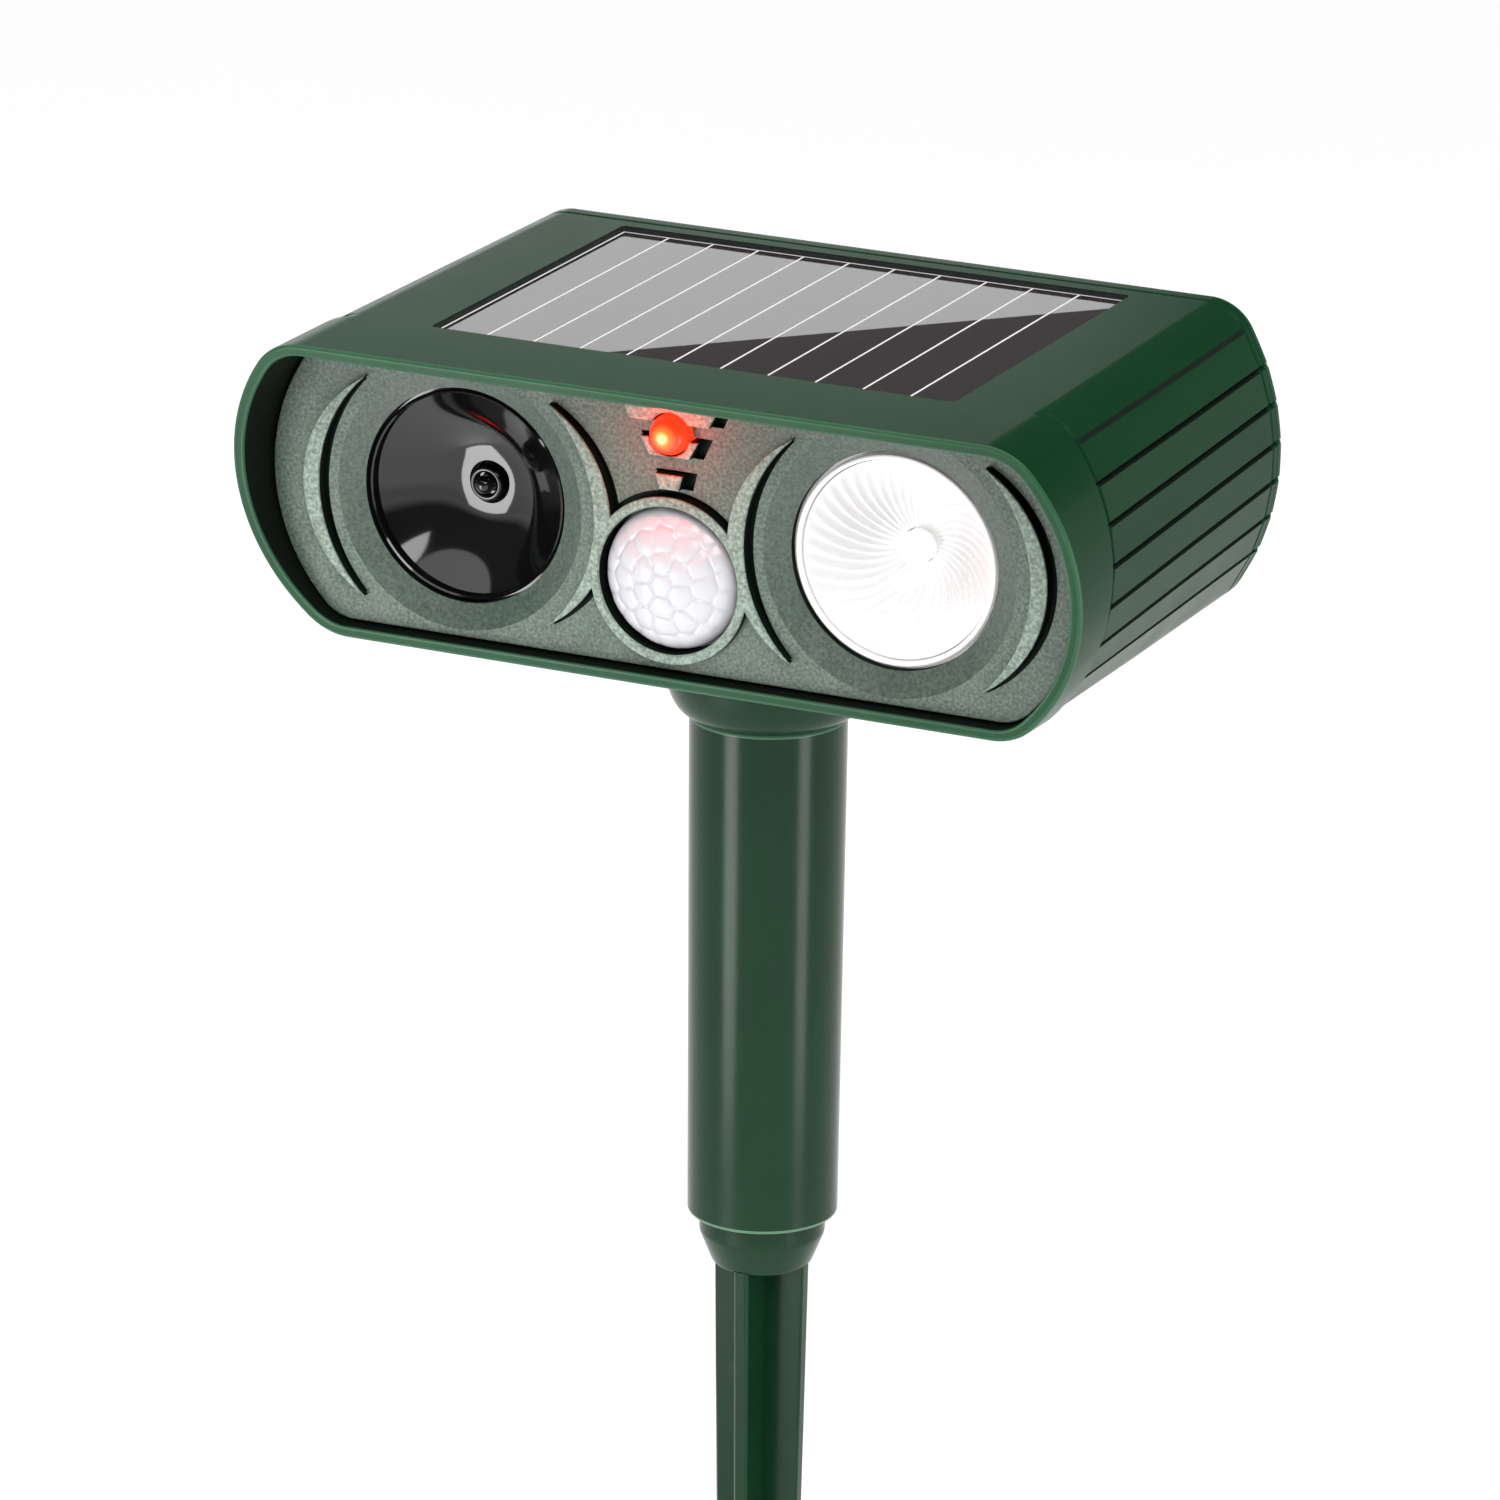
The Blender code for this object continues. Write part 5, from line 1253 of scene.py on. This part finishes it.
def make_flap():
    """The port's rubber flap: a rounded lid with a raised rib for a finger, and its plug."""
    half = ((FLAP_HIGH.x - FLAP_LOW.x) / 2, (FLAP_HIGH.z - FLAP_LOW.z) / 2)
    inner = in_head(0.0, HEAD_DEPTH - POCKET_DEPTH + GAP, 0.0).y
    outer = inner + 1.5 * MM
    levels = [(inner, 0.15 * MM), (inner + 0.15 * MM, 0.0), (outer - 0.35 * MM, 0.0)]
    levels += [(outer - 0.1 * MM, 0.12 * MM), (outer, 0.4 * MM)]
    bm = bmesh.new()
    add_plate(bm, (FLAP_X, (FLAP_LOW.z + FLAP_HIGH.z) / 2), half, 1.6 * MM, levels)
    flap = new_object("port_flap", bm, (RUBBER,))

    def rib(bm):
        levels = ((outer - 0.3 * MM, 0.0), (outer + 0.2 * MM, 0.0), (outer + 0.3 * MM, 0.1 * MM))
        add_plate(bm, (FLAP_X, FLAP_HIGH.z - 2.0 * MM), (3.2 * MM, 0.55 * MM), 0.4 * MM, levels)

    def plug(bm):
        low = FLAP_LOW.y
        levels = ((low, 0.3 * MM), (low + 0.3 * MM, 0.0), (inner + 0.2 * MM, 0.0))
        add_plate(bm, (FLAP_X, FLAP_LOW.z + 5.2 * MM), (3.9 * MM, 1.35 * MM), 0.9 * MM, levels)

    combine(flap, rib, "UNION", (RUBBER,), HERE)
    combine(flap, plug, "UNION", (RUBBER,), HERE)
    settle(flap, "flap", "rubber", "usb_flap", angle=35)


def make_rear_screws():
    """Pan heads with a cross recess."""
    for name in REAR_SCREWS:
        low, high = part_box(name)
        head = high.y - 1.8 * MM
        place = Matrix.Translation(((low.x + high.x) / 2, head, (low.z + high.z) / 2)) @ BACK
        profile = [(0.0, 1.8 * MM), (1.2 * MM, 1.75 * MM), (2.0 * MM, 1.5 * MM)]
        profile += [(2.5 * MM, 0.9 * MM), (SCREW_HEAD, 0.5 * MM), (SCREW_HEAD, 0.0), (1.2 * MM, 0.0)]
        profile += [(1.2 * MM, low.y - head + 0.8 * MM), (0.0, low.y - head)]
        bm = bmesh.new()
        add_lathe(bm, profile, place, segments=40)
        screw = new_object(name.replace("rear", "back"), bm, (STEEL, FACE_SHADE))
        cross = [(1.5, 0.32), (0.32, 0.32), (0.32, 1.5), (-0.32, 1.5), (-0.32, 0.32), (-1.5, 0.32)]
        cross += [(-x, -z) for x, z in cross]

        def recess(bm):
            rings = []
            for height, share in ((0.7 * MM, 0.55), (2.2 * MM, 1.15)):
                rings.append([place @ Vector((x * MM * share, z * MM * share, height)) for x, z in cross])
            # The cross recess takes the painted shade.
            add_loft(bm, rings, shades=[1, 1, 1])

        combine(screw, recess, materials=(STEEL, FACE_SHADE), matrix=HERE)
        settle(screw, "head", "plated_steel", name)


# ---------------------------------------------------------------- pieces kept from the CAD

KEPT_MATERIALS = {
    "cover_gasket": RUBBER,
    "speaker_driver": BLACK,
    "strobe_board": BOARD,
    "pir_sensor": STEEL,
    "sensor_board": BOARD,
    "main_board": BOARD,
    "controller_chip": CHIP,
    "rotary_switch": CHIP,
    "push_switch": CHIP,
    "usb_socket": STEEL,
    "filter_capacitor": SLEEVE,
    "step_up_coil": COPPER,
    "battery_cradle": BLACK,
    "battery_cell": WRAP,
    "battery_spring": STEEL,
    "contact_plate": STEEL,
    "solar_lead": RED_WIRE,
    "speaker_lead": RUBBER,
    "strobe_lead": WHITE_WIRE,
    "battery_lead": RED_WIRE,
    "face_screw": STEEL,
    "neck_screw": STEEL,
}


def paint_kept_nodes():
    for name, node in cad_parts.items():
        for start, material in KEPT_MATERIALS.items():
            if name.startswith(start):
                node.data.materials.clear()
                node.data.materials.append(material)


# ---------------------------------------------------------------- floor, lights and camera

YAW = math.radians(25.35)
PITCH = math.radians(18.64)
ROLL = math.radians(0.69)
LENS = 212.9
SENSOR = 36.0
AIM_RIGHT = 15.91 * MM
AIM_UP = -32.56 * MM
DISTANCE = 1397.62 * MM
VIEW_LEVEL = Vector((math.cos(YAW), math.sin(YAW), 0.0))
VIEW_BACK = Vector(
    (math.sin(YAW) * math.cos(PITCH), -math.cos(YAW) * math.cos(PITCH), math.sin(PITCH))
)

# The studio: the world's strength falls between two heights of the direction looked in.
WORLD_FADE = {"From Min": 0.02, "From Max": 0.14, "To Min": 1.0, "To Max": 0.10}
SKY_STRENGTH = 3.1
SKY_ANGLE = math.radians(100)
FLOOR_SIZE = 12.0

# The card that shows in the solar panel: its size, distance, radiance and slanted near edge.
CARD_WIDTH = 0.95
CARD_HEIGHT = 0.30
CARD_DISTANCE = 1.0
CARD_RADIANCE = 1.3
CARD_SLANT = math.radians(-5.66)
CARD_ALONG = 0.125
CARD_EDGE = -0.0444


def make_camera():
    """The camera stands to the right of the head's front and looks down at it."""
    upright = VIEW_BACK.cross(VIEW_LEVEL)
    right = VIEW_LEVEL * math.cos(ROLL) + upright * math.sin(ROLL)
    up = upright * math.cos(ROLL) - VIEW_LEVEL * math.sin(ROLL)
    camera = bpy.data.objects.new("camera", bpy.data.cameras.new("camera"))
    bpy.context.scene.collection.objects.link(camera)
    camera.data.sensor_width = SENSOR
    camera.data.lens = LENS
    camera.data.clip_end = 50.0
    place = in_head(0.0, 0.0, 0.0) + VIEW_BACK * DISTANCE + right * AIM_RIGHT + up * AIM_UP
    axes = Matrix((right, up, VIEW_BACK)).transposed().to_4x4()
    camera.matrix_world = Matrix.Translation(place) @ axes
    bpy.context.scene.camera = camera


def make_floor():
    low = CAD_BOX[0].z
    bm = bmesh.new()
    bmesh.ops.create_grid(bm, x_segments=2, y_segments=2, size=FLOOR_SIZE)
    nodes = Nodes("pale_floor", 0.9, 0.0, 0.0)
    nodes.tint(nodes.noise(1.5, 2.0), (0.84, 0.84, 0.84), (0.86, 0.86, 0.86))
    floor = new_object("floor", bm, (nodes.material,), Matrix.Translation((0.0, 0.0, low)))


def add_area(name, matrix, width, height, radiance):
    """A soft rectangular light that shines along its own -Z."""
    light = bpy.data.lights.new(name, "AREA")
    light.shape = "RECTANGLE"
    light.size = width
    light.size_y = height
    light.energy = radiance * math.pi * width * height
    obj = bpy.data.objects.new(name, light)
    obj.matrix_world = matrix
    obj.visible_camera = False
    bpy.context.scene.collection.objects.link(obj)


def aimed(place, aim):
    direction = Vector(aim) - Vector(place)
    return Matrix.Translation(place) @ direction.to_track_quat("-Z", "Y").to_matrix().to_4x4()


def add_reflected_card():
    """A card behind the head that shows in the rear left of the solar panel, with a slanted edge."""
    outward = Vector((-VIEW_BACK.x, -VIEW_BACK.y, VIEW_BACK.z))
    rise = VIEW_LEVEL.cross(outward)
    along = VIEW_LEVEL * math.cos(CARD_SLANT) + rise * math.sin(CARD_SLANT)
    up = along.cross(outward)
    start = Vector((0.0, 0.0, HEAD_MIDDLE_Z + HEAD_HEIGHT / 2)) + outward * CARD_DISTANCE
    corner = start + along * CARD_ALONG + up * CARD_EDGE
    place = corner - along * CARD_WIDTH / 2 - up * CARD_HEIGHT / 2
    axes = Matrix((along, outward.cross(along), outward)).transposed().to_4x4()
    add_area("card", Matrix.Translation(place) @ axes, CARD_WIDTH, CARD_HEIGHT, CARD_RADIANCE)


def make_lights():
    """A pale world, a wide sun, the key light, a strip on either side of the tube, and the card."""
    world = bpy.data.worlds.new("studio")
    bpy.context.scene.world = world
    world.use_nodes = True
    tree = world.node_tree
    background = tree.nodes["Background"]
    split = tree.nodes.new("ShaderNodeSeparateXYZ")
    tree.links.new(tree.nodes.new("ShaderNodeTexCoord").outputs["Generated"], split.inputs["Vector"])
    fade = tree.nodes.new("ShaderNodeMapRange")
    fill(fade, WORLD_FADE)
    tree.links.new(split.outputs["Z"], fade.inputs["Value"])
    tree.links.new(fade.outputs["Result"], background.inputs["Strength"])
    fill(background, {"Color": (1.0, 1.0, 1.0, 1.0)})
    head = in_head(0.0, 30 * MM, 0.0)
    sky = bpy.data.lights.new("sky", "SUN")
    sky.energy = SKY_STRENGTH
    sky.angle = SKY_ANGLE
    bpy.context.scene.collection.objects.link(bpy.data.objects.new("sky", sky))
    add_area("key", aimed((0.72, -0.95, 1.15), head), 0.85, 0.7, 6.5)
    tube = (0.0, 0.0, 0.0)
    add_area("tube_left", aimed((-0.168, -0.307, 0.0), tube), 0.12, 0.22, 8.0)
    add_area("tube_right", aimed((0.344, -0.064, 0.0), tube), 0.10, 0.22, 6.0)
    add_reflected_card()
    bpy.context.scene.view_settings.view_transform = "Standard"


# ---------------------------------------------------------------- assembly

make_head_shell()
make_face_panel()
make_rear_cover()
make_speaker()
make_strobe()
make_dome()
make_indicator()
make_solar()
make_neck()
make_tube()
make_spike()
make_knob()
make_button()
make_flap()
make_rear_screws()
paint_kept_nodes()
make_camera()
make_floor()
make_lights()
